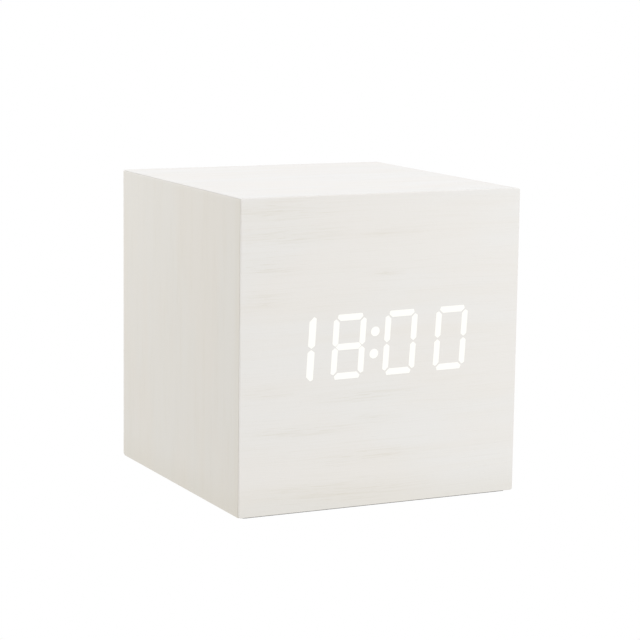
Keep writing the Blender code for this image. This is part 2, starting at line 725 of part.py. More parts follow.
def build_power():
    parts = []
    for row, y in enumerate(CELL_Y):
        parts.append(cell(f"aaa_cell_{row + 1}", y, -1 if row % 2 else 1))
    parts.append(contact("contact_negative", -1, (0,), (0,), True))
    parts.append(contact("contact_bridge_right", 1, (0, 1), (1,), False))
    parts.append(contact("contact_bridge_left", -1, (1, 2), (2,), False))
    parts.append(contact("contact_positive", 1, (2,), (), True))
    parts.append(lead("battery_lead_black", TAIL_PLACES[0], (-18.5, 15.5), WIRE_BLACK))
    parts.append(lead("battery_lead_red", TAIL_PLACES[1], (18.5, 15.5), WIRE_RED))
    assembly("power", (0.0, 0.0, CELL_Z), parts)


# ---------------------------------------------------------------- display
def display_screw_places():
    reach_x, reach_z = DISPLAY_SCREW
    return [(DISPLAY_X + x * reach_x, DISPLAY_Z + z * reach_z) for x in (-1, 1) for z in (-1, 1)]


def slanted(points, centre):
    return [(centre + x + z * math.tan(SLANT), DISPLAY_Z + z) for x, z in points]


def horizontal_segment(level):
    """Top (level 1), middle (0) or bottom (-1) segment of an upright digit, about the digit's centre."""
    half_w, half_h, gap = DIGIT_WIDTH / 2, DIGIT_HEIGHT / 2, SEGMENT_GAP * math.sqrt(0.5)
    if level == 0:
        tip = half_w - SEGMENT / 2 - gap
        shoulder = tip - SEGMENT / 2
        return [
            (-tip, 0.0),
            (-shoulder, -SEGMENT / 2),
            (shoulder, -SEGMENT / 2),
            (tip, 0.0),
            (shoulder, SEGMENT / 2),
            (-shoulder, SEGMENT / 2),
        ]
    outer, inner = half_h, half_h - SEGMENT
    top = half_w - SEGMENT_CHAMFER - gap
    tip = (half_w - SEGMENT_CHAMFER / 2 - gap, half_h - SEGMENT_CHAMFER / 2)
    low = half_w - SEGMENT - gap
    points = [(-low, inner), (low, inner), tip, (top, outer), (-top, outer), (-tip[0], tip[1])]
    return [(x, level * z) for x, z in points]


def vertical_segment(side, level):
    """Left (side -1) or right (1), lower (level -1) or upper (1) segment of an upright digit."""
    half_w, half_h, gap = DIGIT_WIDTH / 2, DIGIT_HEIGHT / 2, SEGMENT_GAP * math.sqrt(0.5)
    points = [
        (half_w - SEGMENT / 2, gap),
        (half_w, gap + SEGMENT / 2),
        (half_w, half_h - SEGMENT_CHAMFER - gap),
        (half_w - SEGMENT_CHAMFER / 2, half_h - SEGMENT_CHAMFER / 2 - gap),
        (half_w - SEGMENT, half_h - SEGMENT - gap),
        (half_w - SEGMENT, gap + SEGMENT / 2),
    ]
    return [(side * x, level * z) for x, z in points]


def digit_centres():
    centres = [DISPLAY_X + DIGIT_PITCH * (index - 1.5) for index in range(4)]
    centres[0] += FIRST_DIGIT_SHIFT
    return centres


def colon_places():
    rise = COLON_SPACING / 2
    return [(DISPLAY_X + z * math.tan(SLANT), DISPLAY_Z + z) for z in (-rise, rise)]


def segment_loops():
    """Outlines of all twenty-eight segments and both colon dots."""
    loops = []
    for centre in digit_centres():
        loops += [slanted(horizontal_segment(level), centre) for level in (-1, 0, 1)]
        loops += [slanted(vertical_segment(side, level), centre) for side in (-1, 1) for level in (-1, 1)]
    return loops + [circle(place, COLON_DIAMETER / 2) for place in colon_places()]


def centre_of(loop):
    return (sum(x for x, _ in loop) / len(loop), sum(z for _, z in loop) / len(loop))


def display_outline():
    return rounded_rectangle((DISPLAY_X, DISPLAY_Z), FLANGE_HALF, 1.0)


def build_display():
    centre = (DISPLAY_X, DISPLAY_Z)
    film_outline = rounded_rectangle(centre, MASK_HALF, 0.3)
    film = plate("diffuser_film", [film_outline], "Y", (FILM_FRONT, FILM_FRONT + FILM), FILM_WHITE)

    holes = [circle(place, SCREW_HOLE + 0.05, 12) for place in display_screw_places()]
    mask = plate("segment_mask", [display_outline(), *holes], "Y", (FLANGE_FRONT, FLANGE_BACK), MASK_WHITE)
    join(mask, plate("mask_block", [film_outline], "Y", (MASK_FRONT, FLANGE_FRONT + MASK_FLANGE / 2)))
    cut(mask, plate("segment_wells", segment_loops(), "Y", (-HALF, FLANGE_BACK + PAST)))

    span = (DISPLAY_BOARD_FRONT, DISPLAY_BOARD_BACK)
    board = plate("display_board", [display_outline(), *holes], "Y", span, BOARD_GREEN)
    chips = []
    for x, z in map(centre_of, segment_loops()):
        half, front = LED[0] / 2, DISPLAY_BOARD_FRONT - LED[1]
        back = DISPLAY_BOARD_FRONT + BOARD_THICKNESS / 4
        chips.append(((x - half, front, z - half), (x + half, back, z + half)))
    join(board, boxes("led_chips", chips))

    parts = [film, mask, board]
    for index, (x, z) in enumerate(display_screw_places()):
        head = (x, DISPLAY_BOARD_BACK + GLUE, z)
        parts.append(screw(f"display_screw_{index + 1}", head, (0, -1, 0), DISPLAY_SCREW_LENGTH))
    parts.append(ribbon_cable())
    assembly("display", (DISPLAY_X, -HALF, DISPLAY_Z), parts)


def ribbon_cable():
    """Flat cable soldered to the back of the display board and the front of the main board."""
    start = Vector((0.0, DISPLAY_BOARD_BACK + 3 * GAP, DISPLAY_Z + 5))
    end = Vector((0.0, MAIN_BOARD_FRONT - 3 * GAP, MAIN_BOARD_Z[1] - 5))
    bow = Vector((0.0, 26, 8))
    path = bezier(start, start + bow, end - bow, end, 22)
    shape = bmesh.new()
    half_width = 6.35
    rows = [[shape.verts.new((x * MM, p.y * MM, p.z * MM)) for x in (-half_width, half_width)] for p in path]
    for near, far in zip(rows, rows[1:]):
        shape.faces.new((near[0], near[1], far[1], far[0]))
    mesh = bpy.data.meshes.new("ribbon_cable")
    shape.to_mesh(mesh)
    shape.free()
    ribbon = add_object("ribbon_cable", mesh, RIBBON_GREY)
    thick = ribbon.modifiers.new("Thickness", "SOLIDIFY")
    thick.thickness = 0.8 * MM
    thick.offset = 0.0
    return ribbon


# ---------------------------------------------------------------- control panel, buttons and main board
def control_panel():
    """Flange behind the rear board, tub that comes through it, and posts for the main board."""
    low, high = MAIN_BOARD_Z
    flange_half = (MAIN_BOARD_HALF_X + 1.0, (high - low) / 2 + 0.4)
    flange = rounded_rectangle((0.0, (low + high) / 2), flange_half, 1.5)
    panel = plate("control_panel", [flange], "Y", PANEL_FLANGE, BLACK_ABS)
    inside_flange = PANEL_FLANGE[0] + 0.5
    join(panel, plate("panel_tub", [tub_outline(0.0)], "Y", (inside_flange, PANEL_FACE)))
    posts = [((x, MAIN_BOARD_BACK + GLUE, z), (x, inside_flange, z)) for x, z in REAR_SCREWS]
    join(panel, rods("panel_posts", 2.3, posts, segments=16))
    hollow = (PANEL_FLANGE[0] - PAST, PANEL_FACE - PANEL_WALL)
    cut(panel, plate("tub_hollow", [tub_outline(CLEARANCE - PANEL_WALL)], "Y", hollow))
    through = [((x, MAIN_BOARD_BACK - PAST, z), (x, HALF, z)) for x, z in REAR_SCREWS]
    cut(panel, rods("panel_screw_holes", SCREW_HOLE + 0.05, through, segments=12))
    openings = (PANEL_FACE - PANEL_WALL - PAST, PANEL_FACE + PAST)
    cut(panel, plate("panel_openings", panel_holes(), "Y", openings))
    return panel


def panel_holes():
    """Outlines of the holes for buttons, socket, microphone and air."""
    holes = [circle((x, BUTTON_Z), BUTTON_RADIUS + CLEARANCE, FINE_SIDES) for x in BUTTON_X.values()]
    socket_half = tuple(half + CLEARANCE for half in USB_HALF)
    holes.append(rounded_rectangle((USB_X, BUTTON_Z), socket_half, socket_half[1] - 0.05))
    holes.append(circle((USB_X, VENT_Z), MICROPHONE_HOLE))
    slot_half = (0.5, 2.0)
    for slot in range(-2, 3):
        centre = (VENT_X + 4 * slot_half[0] * slot, VENT_Z)
        holes.append(rounded_rectangle(centre, slot_half, slot_half[0] - 0.01))
    return holes


def button_mark(name, x):
    """What is sunk into a cap: a bar on the set button, a triangle that points down or up on the others."""
    deep = (PANEL_FACE + BUTTON_PROUD - 0.25, PANEL_FACE + BUTTON_PROUD + PAST)
    if name == "set_button":
        return plate(name + "_mark", [rounded_rectangle((x, BUTTON_Z), (1.2, 0.3), 0.25)], "Y", deep)
    way = 1 if name == "up_button" else -1
    half_base, base, tip = 1.1, BUTTON_Z - way * 0.7, BUTTON_Z + way * 1.1
    triangle = [(x - half_base, base), (x + half_base, base), (x, tip)]
    return plate(name + "_mark", [triangle], "Y", deep)


def button(name, x):
    """Cap with a collar that keeps it in the panel and a stem that reaches its switch."""
    radius, collar_radius, stem_radius = BUTTON_RADIUS, BUTTON_RADIUS + 0.9, 1.6
    collar_top = -PANEL_WALL - CLEARANCE
    collar_bottom = collar_top - 0.8
    profile = [
        (0.0, BUTTON_PROUD),
        (radius - 0.8, BUTTON_PROUD),
        (radius - 0.25, BUTTON_PROUD - 0.15),
        (radius, BUTTON_PROUD - 0.5),
        (radius, collar_top),
        (collar_radius, collar_top),
        (collar_radius, collar_bottom),
        (stem_radius, collar_bottom),
        (stem_radius, STEM_END - PANEL_FACE),
        (0.0, STEM_END - PANEL_FACE),
    ]
    cap = turned(name, profile, (x, PANEL_FACE, BUTTON_Z), (0, 1, 0), BLACK_ABS, FINE_SIDES)
    cut(cap, button_mark(name, x))
    return cap


def tact_switch(button_name, x):
    """Switch body with a bored top, and the plunger that slides in it."""
    name = button_name.replace("button", "switch")
    half, back = SWITCH_SIDE / 2, MAIN_BOARD_BACK + GLUE
    top = MAIN_BOARD_BACK + SWITCH_HEIGHT
    high = (x + half, top, BUTTON_Z + half)
    body = box(name + "_body", (x - half, back, BUTTON_Z - half), high, CHIP_BLACK)
    radius, sunk = 1.75, 0.8  # the plunger, and how far it reaches into its bore
    bore = ((x, top - sunk - 2 * CLEARANCE, BUTTON_Z), (x, top + PAST, BUTTON_Z))
    cut(body, rods(name + "_bore", radius + GAP, [bore]))
    end = -PLUNGER_RISE - sunk
    profile = [(0.0, 0.0), (radius - 0.25, 0.0), (radius, -0.2), (radius, end), (0.0, end)]
    tip = (x, top + PLUNGER_RISE, BUTTON_Z)
    plunger = turned(name + "_plunger", profile, tip, (0, 1, 0), PLUNGER_BROWN)
    return [body, plunger]


def usb_socket():
    """Oval metal socket with a tongue in it."""
    back, mouth = MAIN_BOARD_BACK + GLUE, PANEL_FACE - CLEARANCE
    wall, hollow_depth = 0.3, 6.0
    centre = (USB_X, BUTTON_Z)
    outer = rounded_rectangle(centre, USB_HALF, USB_HALF[1] - 0.05)
    shell = plate("usb_socket", [outer], "Y", (back, mouth), CAN_METAL)
    inner_half = tuple(half - wall for half in USB_HALF)
    inner = rounded_rectangle(centre, inner_half, inner_half[1] - 0.05)
    cut(shell, plate("usb_hollow", [inner], "Y", (mouth - hollow_depth, mouth + PAST)))
    half_width, half_thickness = 3.3, 0.35
    low = (USB_X - half_width, mouth - hollow_depth - 0.5, BUTTON_Z - half_thickness)
    high = (USB_X + half_width, mouth - 0.9, BUTTON_Z + half_thickness)
    join(shell, boxes("usb_tongue", [(low, high)]))
    return shell


def microphone():
    height, chamfer = 2.7, 0.3
    profile = [
        (0.0, height),
        (MICROPHONE_RADIUS - chamfer, height),
        (MICROPHONE_RADIUS, height - chamfer),
        (MICROPHONE_RADIUS, 0.0),
        (0.0, 0.0),
    ]
    return turned("microphone", profile, (USB_X, MAIN_BOARD_BACK + GLUE, VENT_Z), (0, 1, 0), CAN_METAL)


def thermistor():
    """A bead on two leads, behind the vent slots."""
    radius, lead_spread = 1.1, 0.5
    bead_y = PANEL_FACE - PANEL_WALL - 1.7
    angles = [math.pi * step / 8 for step in range(9)]
    profile = [(radius * math.sin(angle), radius * math.cos(angle)) for angle in angles]
    bead = turned("thermistor", profile, (VENT_X, bead_y, VENT_Z), (0, 1, 0), THERMISTOR_BEAD, steps=12)
    leads = []
    for x in (VENT_X - lead_spread, VENT_X + lead_spread):
        low = (x - 0.2, MAIN_BOARD_BACK + GLUE, VENT_Z - 0.15)
        leads.append((low, (x + 0.2, bead_y + 0.1, VENT_Z + 0.25)))
    join(bead, boxes("thermistor_leads", leads))
    return bead


def microcontroller():
    x, z = -13.0, 29.0
    board, half, thickness, raised = MAIN_BOARD_FRONT - GLUE, 5.0, 1.5, 0.2
    low = (x - half, board - thickness, z - half)
    chip = box("microcontroller", low, (x + half, board - raised, z + half), CHIP_BLACK)
    legs, leg_pitch, leg_half_width, leg_length = 8, 1.1, 0.2, 1.0
    feet = []
    for leg in range(legs):
        leg_z = z + (leg - (legs - 1) / 2) * leg_pitch
        low = (x - half - leg_length, board - 0.5, leg_z - leg_half_width)
        feet.append((low, (x + half + leg_length, board, leg_z + leg_half_width)))
    join(chip, boxes("chip_legs", feet))
    return chip


def can(name, radius, height, x, z, material, dimple):
    """A round can that stands on the front of the main board, with a dimple in its end."""
    chamfer = 0.4
    profile = [
        (0.0, height - chamfer),
        (dimple, height - chamfer),
        (dimple, height),
        (radius - chamfer, height),
        (radius, height - chamfer),
        (radius, 0.0),
        (0.0, 0.0),
    ]
    return turned(name, profile, (x, MAIN_BOARD_FRONT - GLUE, z), (0, -1, 0), material)


def main_board():
    low, high = MAIN_BOARD_Z
    outline = rounded_rectangle((0.0, (low + high) / 2), (MAIN_BOARD_HALF_X, (high - low) / 2), 1.0)
    holes = [circle(place, SCREW_HOLE + 0.05, 12) for place in REAR_SCREWS]
    return plate("main_board", [outline, *holes], "Y", (MAIN_BOARD_FRONT, MAIN_BOARD_BACK), BOARD_GREEN)


def crystal():
    radius, length, x, z = 1.5, 8.0, -2.0, 19.0
    y = MAIN_BOARD_FRONT - GLUE - radius
    made = rods("crystal", radius, [((x - length / 2, y, z), (x + length / 2, y, z))], CAN_METAL, 16)
    bevel(made, 0.3)
    return made


def build_controls():
    parts = [control_panel(), main_board(), usb_socket(), microphone(), thermistor()]
    for name, x in BUTTON_X.items():
        parts.append(button(name, x))
        parts += tact_switch(name, x)
    parts += [microcontroller(), crystal()]
    parts.append(can("buzzer", 6.0, 6.5, 14.5, 32.0, CHIP_BLACK, 1.0))
    parts.append(can("capacitor", 3.15, 7.7, 14.0, 20.0, CAN_METAL, 2.0))
    for index, (x, z) in enumerate(REAR_SCREWS):
        head = (x, MAIN_BOARD_FRONT - GLUE, z)
        parts.append(screw(f"rear_screw_{index + 1}", head, (0, 1, 0), REAR_SCREW_LENGTH))
    assembly("controls", (0.0, PANEL_FACE, PANEL_Z), parts)


build_case()
build_base()
build_power()
build_display()
build_controls()
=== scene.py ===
"""Looks for the cube desk clock: finishes and fine shapes for every piece, lit digits and a white studio.

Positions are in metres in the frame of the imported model, with the front towards -Y and +Z up. Sizes and
patterns are written in millimetres and scaled by MM, except for the floor and the softboxes, in metres.
"""

import json
import math

import bmesh
import bpy
from mathutils import Matrix, Vector

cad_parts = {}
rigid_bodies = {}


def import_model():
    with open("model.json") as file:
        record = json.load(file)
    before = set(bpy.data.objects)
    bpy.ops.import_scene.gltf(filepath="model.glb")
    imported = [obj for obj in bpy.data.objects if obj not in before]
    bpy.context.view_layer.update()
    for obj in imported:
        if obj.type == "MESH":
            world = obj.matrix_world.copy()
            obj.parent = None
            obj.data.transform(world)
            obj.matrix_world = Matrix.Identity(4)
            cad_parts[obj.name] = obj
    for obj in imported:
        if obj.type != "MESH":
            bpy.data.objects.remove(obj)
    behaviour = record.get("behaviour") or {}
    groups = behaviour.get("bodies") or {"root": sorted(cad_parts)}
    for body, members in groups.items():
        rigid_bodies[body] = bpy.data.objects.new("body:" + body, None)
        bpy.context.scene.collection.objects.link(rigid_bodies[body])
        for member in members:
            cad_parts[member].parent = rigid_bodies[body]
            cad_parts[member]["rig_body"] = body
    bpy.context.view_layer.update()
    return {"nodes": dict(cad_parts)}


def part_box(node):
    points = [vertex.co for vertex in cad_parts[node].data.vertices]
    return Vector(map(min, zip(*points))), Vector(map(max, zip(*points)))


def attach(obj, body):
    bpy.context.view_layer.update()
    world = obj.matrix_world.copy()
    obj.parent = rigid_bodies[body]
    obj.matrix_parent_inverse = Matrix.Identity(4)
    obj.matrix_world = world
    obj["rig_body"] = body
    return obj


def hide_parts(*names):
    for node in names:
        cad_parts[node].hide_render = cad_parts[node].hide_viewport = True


MM = 0.001

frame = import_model()
NODES = frame["nodes"]


def millimetres(node):
    """Lowest and highest corner of a CAD node in millimetres."""
    low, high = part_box(node)
    return low / MM, high / MM


# ---------------------------------------------------------------- dimensions, from the frame where it can
FRONT = millimetres("front_veneer")[0].y
SIDE = millimetres("right_panel")[1].x
TOP = millimetres("top_panel")[1].z
BOX_BOTTOM = millimetres("front_veneer")[0].z
SKIN = 0.5  # veneer on the fibreboard of the side and top panels

FILM_LOW, FILM_HIGH = millimetres("diffuser_film")
DISPLAY_CENTRE = ((FILM_LOW.x + FILM_HIGH.x) / 2, (FILM_LOW.z + FILM_HIGH.z) / 2)
DIGIT_HEIGHT = 14.2
DIGIT_WIDTH = 7.95
DIGIT_PITCH = 12.62
FIRST_DIGIT_SHIFT = 0.5
SEGMENT = 1.42
SLANT = math.radians(4.0)
DISPLAY_TILT = math.radians(0.75)  # the display sits a hair askew behind the veneer
BAR_SHOULDER = 1.1  # ends of a top or bottom bar, from the digit's corner
BAR_TIP = (0.85, 0.7)
BAR_INNER = 0.25
POST_SHOULDER = 1.35  # outer ends of an upright segment, from the digit's corner
POST_TIP = (0.65, 1.0)
POST_INNER = 0.35
ONE_TALLER = 0.9  # the leading one reaches this much further at each end
ONE_WIDER = 0.25  # and its segments are wider by this
MIDDLE_GAP = 0.25  # between the tips that meet halfway up
MIDDLE_SHOULDER = 0.6
COLON_DIAMETER = 2.12
COLON_SPACING = 4.9
COLON_RISE = 0.35  # middle of the colon above the middle of the digits
GLOW_PROUD = 0.02  # how far the lit shapes stand in front of the veneer
SHOWN_TIME = "1800"

ROUND_SIDES = 64
FAR = 1000.0  # further than any point of the clock
PAST = 1.0  # how far a mask at the end of a piece reaches past it
WELD = 0.0005 * MM  # corners closer than this become one


# ---------------------------------------------------------------- building node trees
def put(tree, kind, inputs=None, **settings):
    """A new shader node. Each input is a number, a colour or the socket that feeds it."""
    made = tree.nodes.new("ShaderNode" + kind)
    for name, value in settings.items():
        setattr(made, name, value)
    for key, value in (inputs or {}).items():
        if isinstance(value, bpy.types.NodeSocket):
            tree.links.new(value, made.inputs[key])
        else:
            made.inputs[key].default_value = value
    return made


def maths(tree, operation, *values):
    return put(tree, "Math", dict(enumerate(values)), operation=operation).outputs[0]


def mix(tree, share, first, second, blend="MIX"):
    """A colour between first and second, or first with second blended over it."""
    made = put(tree, "Mix", {"Factor": share}, data_type="RGBA", blend_type=blend)
    for socket, value in zip((made.inputs[6], made.inputs[7]), (first, second)):
        if isinstance(value, bpy.types.NodeSocket):
            tree.links.new(value, socket)
        else:
            socket.default_value = (*value, 1.0)
    return made.outputs[2]


def between(tree, value, low, high):
    """0 below low, 1 above high and smooth in between. It falls where low is above high."""
    inputs = {"Value": value, "From Min": min(low, high), "From Max": max(low, high)}
    inputs["To Min"], inputs["To Max"] = (0.0, 1.0) if low < high else (1.0, 0.0)
    return put(tree, "MapRange", inputs, interpolation_type="SMOOTHSTEP").outputs[0]


def place_of(tree):
    """Where a point of the piece is at rest, in millimetres."""
    raw = put(tree, "TexCoord").outputs["Object"]
    return put(tree, "VectorMath", {0: raw, "Scale": 1 / MM}, operation="SCALE").outputs[0]


def axes_of(tree, place):
    return put(tree, "SeparateXYZ", {0: place}).outputs


def noise(tree, place, size, detail=2.0, seed=0.0, roughness=0.5):
    """Noise from 0 to 1 whose features measure size along X, Y and Z, in millimetres."""
    inputs = {"Vector": place, "Location": (seed, seed, seed), "Scale": [1 / length for length in size]}
    laid = put(tree, "Mapping", inputs).outputs[0]
    inputs = {"Vector": laid, "Scale": 1.0, "Detail": detail, "Roughness": roughness}
    return put(tree, "TexNoise", inputs).outputs["Fac"]


def bump(tree, shader, height, depth, strength=1.0):
    """Relief of depth millimetres."""
    inputs = {"Height": height, "Distance": depth * MM, "Strength": strength}
    tree.links.new(put(tree, "Bump", inputs).outputs[0], shader.inputs["Normal"])


def feed(tree, shader, **inputs):
    """Sets or links inputs of the shader; an underscore stands for a space."""
    for name, value in inputs.items():
        socket = shader.inputs[name.replace("_", " ")]
        if isinstance(value, bpy.types.NodeSocket):
            tree.links.new(value, socket)
        elif isinstance(value, tuple):
            socket.default_value = (*value, 1.0)
        else:
            socket.default_value = value


def start_material(name):
    made = bpy.data.materials.new(name)
    made.use_nodes = True
    return made, made.node_tree, made.node_tree.nodes["Principled BSDF"]


def spread_between(tree, value, low, high):
    """The value from 0 to 1 spread from low to high."""
    return put(tree, "MapRange", {"Value": value, "To Min": low, "To Max": high}).outputs[0]


def number_between(tree, share, first, second):
    """A number between first and second."""
    made = put(tree, "Mix", {"Factor": share, 2: first, 3: second}, data_type="FLOAT")
    return made.outputs[0]


def product(tree, *values):
    total = values[0]
    for value in values[1:]:
        total = maths(tree, "MULTIPLY", total, value)
    return total


def inside_span(tree, value, low, high):
    """1 where value lies between low and high."""
    above = maths(tree, "GREATER_THAN", value, low)
    below = maths(tree, "LESS_THAN", value, high)
    return product(tree, above, below)


def repeated(tree, value, pitch, share, start=0.0):
    """1 on the first share of each pitch."""
    phase = maths(tree, "DIVIDE", maths(tree, "SUBTRACT", value, start), pitch)
    return maths(tree, "LESS_THAN", maths(tree, "FRACT", phase), share)


def distance_from(tree, axes, letters, centre):
    """Distance from centre in the plane of the two axes."""
    offsets = [maths(tree, "SUBTRACT", axes[letter], value) for letter, value in zip(letters, centre)]
    offset = put(tree, "CombineXYZ", dict(enumerate(offsets))).outputs[0]
    return put(tree, "VectorMath", {0: offset}, operation="LENGTH").outputs["Value"]


# ---------------------------------------------------------------- wood
FIBREBOARD_LIGHT = (0.52, 0.37, 0.22)
FIBREBOARD_DARK = (0.29, 0.19, 0.11)
WASH = (0.815, 0.791, 0.761)  # the white wash over the veneer
WASH_COOL = (0.812, 0.797, 0.776)
WASH_WARM = (0.800, 0.766, 0.718)
# also mixed in as painted shade along the lower edge, and for the darker strip at the front edge of the
# sides
STREAK_AND_SHADE = (0.665, 0.625, 0.535)  # where the wood's grain shows through the wash
BAND_SHARE = 0.35  # how much of its colour each part of the grain adds at its strongest
VEIL_SHARE = 0.07
LINE_SHARE = 0.26
DASH_SHARE = 0.28
FIBRE_SHARE = 0.11
PORE_SHARE = 0.10
EDGE_STRIP = 4.0  # width of the faintly darker strip along the front edge of the side panels
# how much darker that strip is at the front edge
EDGE_DARKENING = 0.16
LOW_STRIP = 8.0  # height of the strip of painted shade along the lower edge, darker downwards
# strength of the painted shade at the lower edge itself
LOW_SHADE = 0.25
# painted shade: the side panels darker and warmer than the front, partly the veneer's own colour and partly
# the shade of the less lit sides
SIDE_TONE_AND_SHADE = (0.902, 0.895, 0.869)
FRONT_STREAKS = (  # streaked patches: middle from the left and from below, length and width
    (9.0, 66.4, 44.0, 7.0),
    (11.0, 61.0, 40.0, 7.0),
    (36.0, 60.0, 22.0, 3.0),
    (6.0, 54.5, 26.0, 7.0),
    (4.0, 47.5, 20.0, 6.0),
    (34.5, 51.4, 14.0, 2.4),
    (7.0, 27.3, 18.0, 5.0),
    (30.0, 24.6, 38.0, 4.4),
    (15.0, 18.0, 38.0, 4.2),
    (33.0, 19.3, 18.0, 3.2),
    (30.0, 11.5, 44.0, 5.0),
    (24.0, 4.0, 60.0, 8.0),
)


def fibreboard_colour(tree, place):
    clumps = noise(tree, place, (0.6, 0.6, 0.6), detail=6.0, roughness=0.65)
    return mix(tree, clumps, FIBREBOARD_DARK, FIBREBOARD_LIGHT)


def fibreboard():
    made, tree, shader = start_material("fibreboard")
    place = place_of(tree)
    feed(tree, shader, Base_Color=fibreboard_colour(tree, place), Roughness=0.85)
    bump(tree, shader, noise(tree, place, (0.3, 0.3, 0.3), detail=4.0), 0.05)
    return made


def along_grain(tree, axes, order, slope):
    """Places with X along the grain, Y across it and Z through the sheet. The grain climbs by slope."""
    along, across, through = (axes[letter] for letter in order)
    across = maths(tree, "SUBTRACT", across, maths(tree, "MULTIPLY", along, slope))
    return put(tree, "CombineXYZ", {0: along, 1: across, 2: through}).outputs[0]


def streaked_patch(tree, place, middle, size):
    """1 in the middle of an oval along the grain, falling softly to 0 at its rim."""
    half = (size[0] / 2, size[1] / 2, FAR)
    inputs = {"Vector": place, "Location": (*middle, 0.0), "Scale": half}
    local = put(tree, "Mapping", inputs, vector_type="TEXTURE").outputs[0]
    reach = put(tree, "VectorMath", {0: local}, operation="LENGTH").outputs["Value"]
    return between(tree, reach, 1.0, 0.0)


def front_streaks(tree, place, _seed):
    """How streaked the front is, from 0 to 1. Its patches have fixed places, so it takes no seed."""
    total = 0.0
    for from_left, rise, length, width in FRONT_STREAKS:
        middle = (from_left - SIDE, rise + BOX_BOTTOM)
        total = maths(tree, "MAXIMUM", total, streaked_patch(tree, place, middle, (length, width)))
    return total


def scattered_streaks(tree, place, seed):
    """How streaked any other face is, from 0 to 1."""
    where = noise(tree, place, (26.0, 3.0, 30.0), detail=1.0, seed=seed + 17.9)
    return between(tree, where, 0.46, 0.64)


def grain(tree, place, seed, streaks, clear):
    """Colour of the washed veneer, and its relief, from 0 to 1. A lower clear hides more of the grain."""
    wander = noise(tree, place, (50.0, 25.0, 50.0), detail=1.0, seed=seed)
    sideways = maths(tree, "MULTIPLY", maths(tree, "SUBTRACT", wander, 0.5), 3.0)
    bent = put(tree, "CombineXYZ", {1: sideways}).outputs[0]
    place = put(tree, "VectorMath", {0: place, 1: bent}, operation="ADD").outputs[0]

    clouds = noise(tree, place, (38.0, 13.0, 38.0), detail=2.0, seed=seed + 5.2)
    bands = noise(tree, place, (60.0, 4.0, 40.0), detail=2.0, seed=seed + 3.1)
    lines = noise(tree, place, (9.0, 0.32, 9.0), detail=2.0, seed=seed + 11.3)
    dashes = noise(tree, place, (4.0, 0.28, 4.0), detail=1.0, seed=seed + 29.6)
    fibres = noise(tree, place, (16.0, 0.30, 16.0), detail=3.0, seed=seed + 7.7, roughness=0.6)
    pores = noise(tree, place, (2.2, 0.16, 2.2), detail=1.0, seed=seed + 23.4)

    colour = mix(tree, between(tree, clouds, 0.38, 0.62), WASH, WASH_COOL)
    warm = product(tree, between(tree, bands, 0.45, 0.70), BAND_SHARE * clear)
    colour = mix(tree, warm, colour, WASH_WARM)
    streaked = streaks(tree, place, seed)
    shares = (
        product(tree, streaked, VEIL_SHARE * clear),
        product(tree, streaked, between(tree, lines, 0.50, 0.66), LINE_SHARE * clear),
        product(tree, streaked, between(tree, dashes, 0.58, 0.72), DASH_SHARE * clear),
        product(tree, between(tree, fibres, 0.48, 0.78), FIBRE_SHARE * clear),
        product(tree, between(tree, pores, 0.66, 0.78), PORE_SHARE * clear),
    )
    for share in shares:
        colour = mix(tree, share, colour, STREAK_AND_SHADE)
    relief = maths(tree, "SUBTRACT", fibres, product(tree, between(tree, pores, 0.62, 0.78), 0.5))
    return colour, relief


def veneered(name, order, seed, slope, streaks):
    """White-washed veneer that covers the whole piece."""
    made, tree, shader = start_material(name)
    axes = axes_of(tree, place_of(tree))
    colour, relief = grain(tree, along_grain(tree, axes, order, slope), seed, streaks, 1.0)
    finish_veneer(tree, shader, darker_below(tree, axes, colour), relief)
    return made


def darker_below(tree, axes, colour):
    """The colour a little darker towards the lower edge of the box: painted shade, as where the box stands
    on a floor.
    """
    low = between(tree, axes["Z"], BOX_BOTTOM + LOW_STRIP, BOX_BOTTOM)
    return mix(tree, product(tree, low, LOW_SHADE), colour, STREAK_AND_SHADE)


def finish_veneer(tree, shader, colour, relief):
    roughness = spread_between(tree, relief, 0.50, 0.62)
    feed(tree, shader, Base_Color=colour, Roughness=roughness, Specular_IOR_Level=0.35)
    bump(tree, shader, relief, 0.035, 0.6)


def veneered_board(name, order, seed, depth_of, tone_and_painted_light, clear, edge_darkening):
    """Veneer of thickness SKIN on fibreboard. depth_of gives how deep a point lies below the veneered face.
    Each panel's tint multiplies its colour; on the side panels it is partly painted shade, on the top panel
    painted light. The last argument gives how much darker the strip along the front edge is."""
    made, tree, shader = start_material(name)
    place = place_of(tree)
    axes = axes_of(tree, place)
    colour, relief = grain(tree, along_grain(tree, axes, order, 0.01), seed, scattered_streaks, clear)
    # the tint is partly painted shade on the side panels and painted light on the top panel
    colour = mix(tree, 1.0, colour, tone_and_painted_light, "MULTIPLY")
    edge = between(tree, axes["Y"], FRONT + EDGE_STRIP, FRONT + EDGE_STRIP / 2)
    colour = darker_below(tree, axes, mix(tree, product(tree, edge, edge_darkening), colour, STREAK_AND_SHADE))
    inside = maths(tree, "GREATER_THAN", depth_of(tree, axes), SKIN)
    colour = mix(tree, inside, colour, fibreboard_colour(tree, place))
    finish_veneer(tree, shader, colour, relief)
    return made


def depth_from_side(tree, axes):
    return maths(tree, "SUBTRACT", SIDE, maths(tree, "ABSOLUTE", axes["X"]))


def depth_from_top(tree, axes):
    return maths(tree, "SUBTRACT", TOP, axes["Z"])


# ---------------------------------------------------------------- plastics, rubber and metals
def moulded(name, colour, roughness, texture=0.25, depth=0.012):
    """Plastic or rubber with the fine texture of its mould."""
    made, tree, shader = start_material(name)
    place = place_of(tree)
    speckle = noise(tree, place, (texture,) * 3, detail=2.0)
    cloud = noise(tree, place, (9.0, 9.0, 9.0), detail=3.0, seed=4.0)
    lighter = tuple(channel * 1.25 + 0.004 for channel in colour)
    feed(
        tree,
        shader,
        Base_Color=mix(tree, cloud, colour, lighter),
        Roughness=spread_between(tree, cloud, roughness - 0.05, roughness + 0.05),
    )
    bump(tree, shader, speckle, depth)
    return made


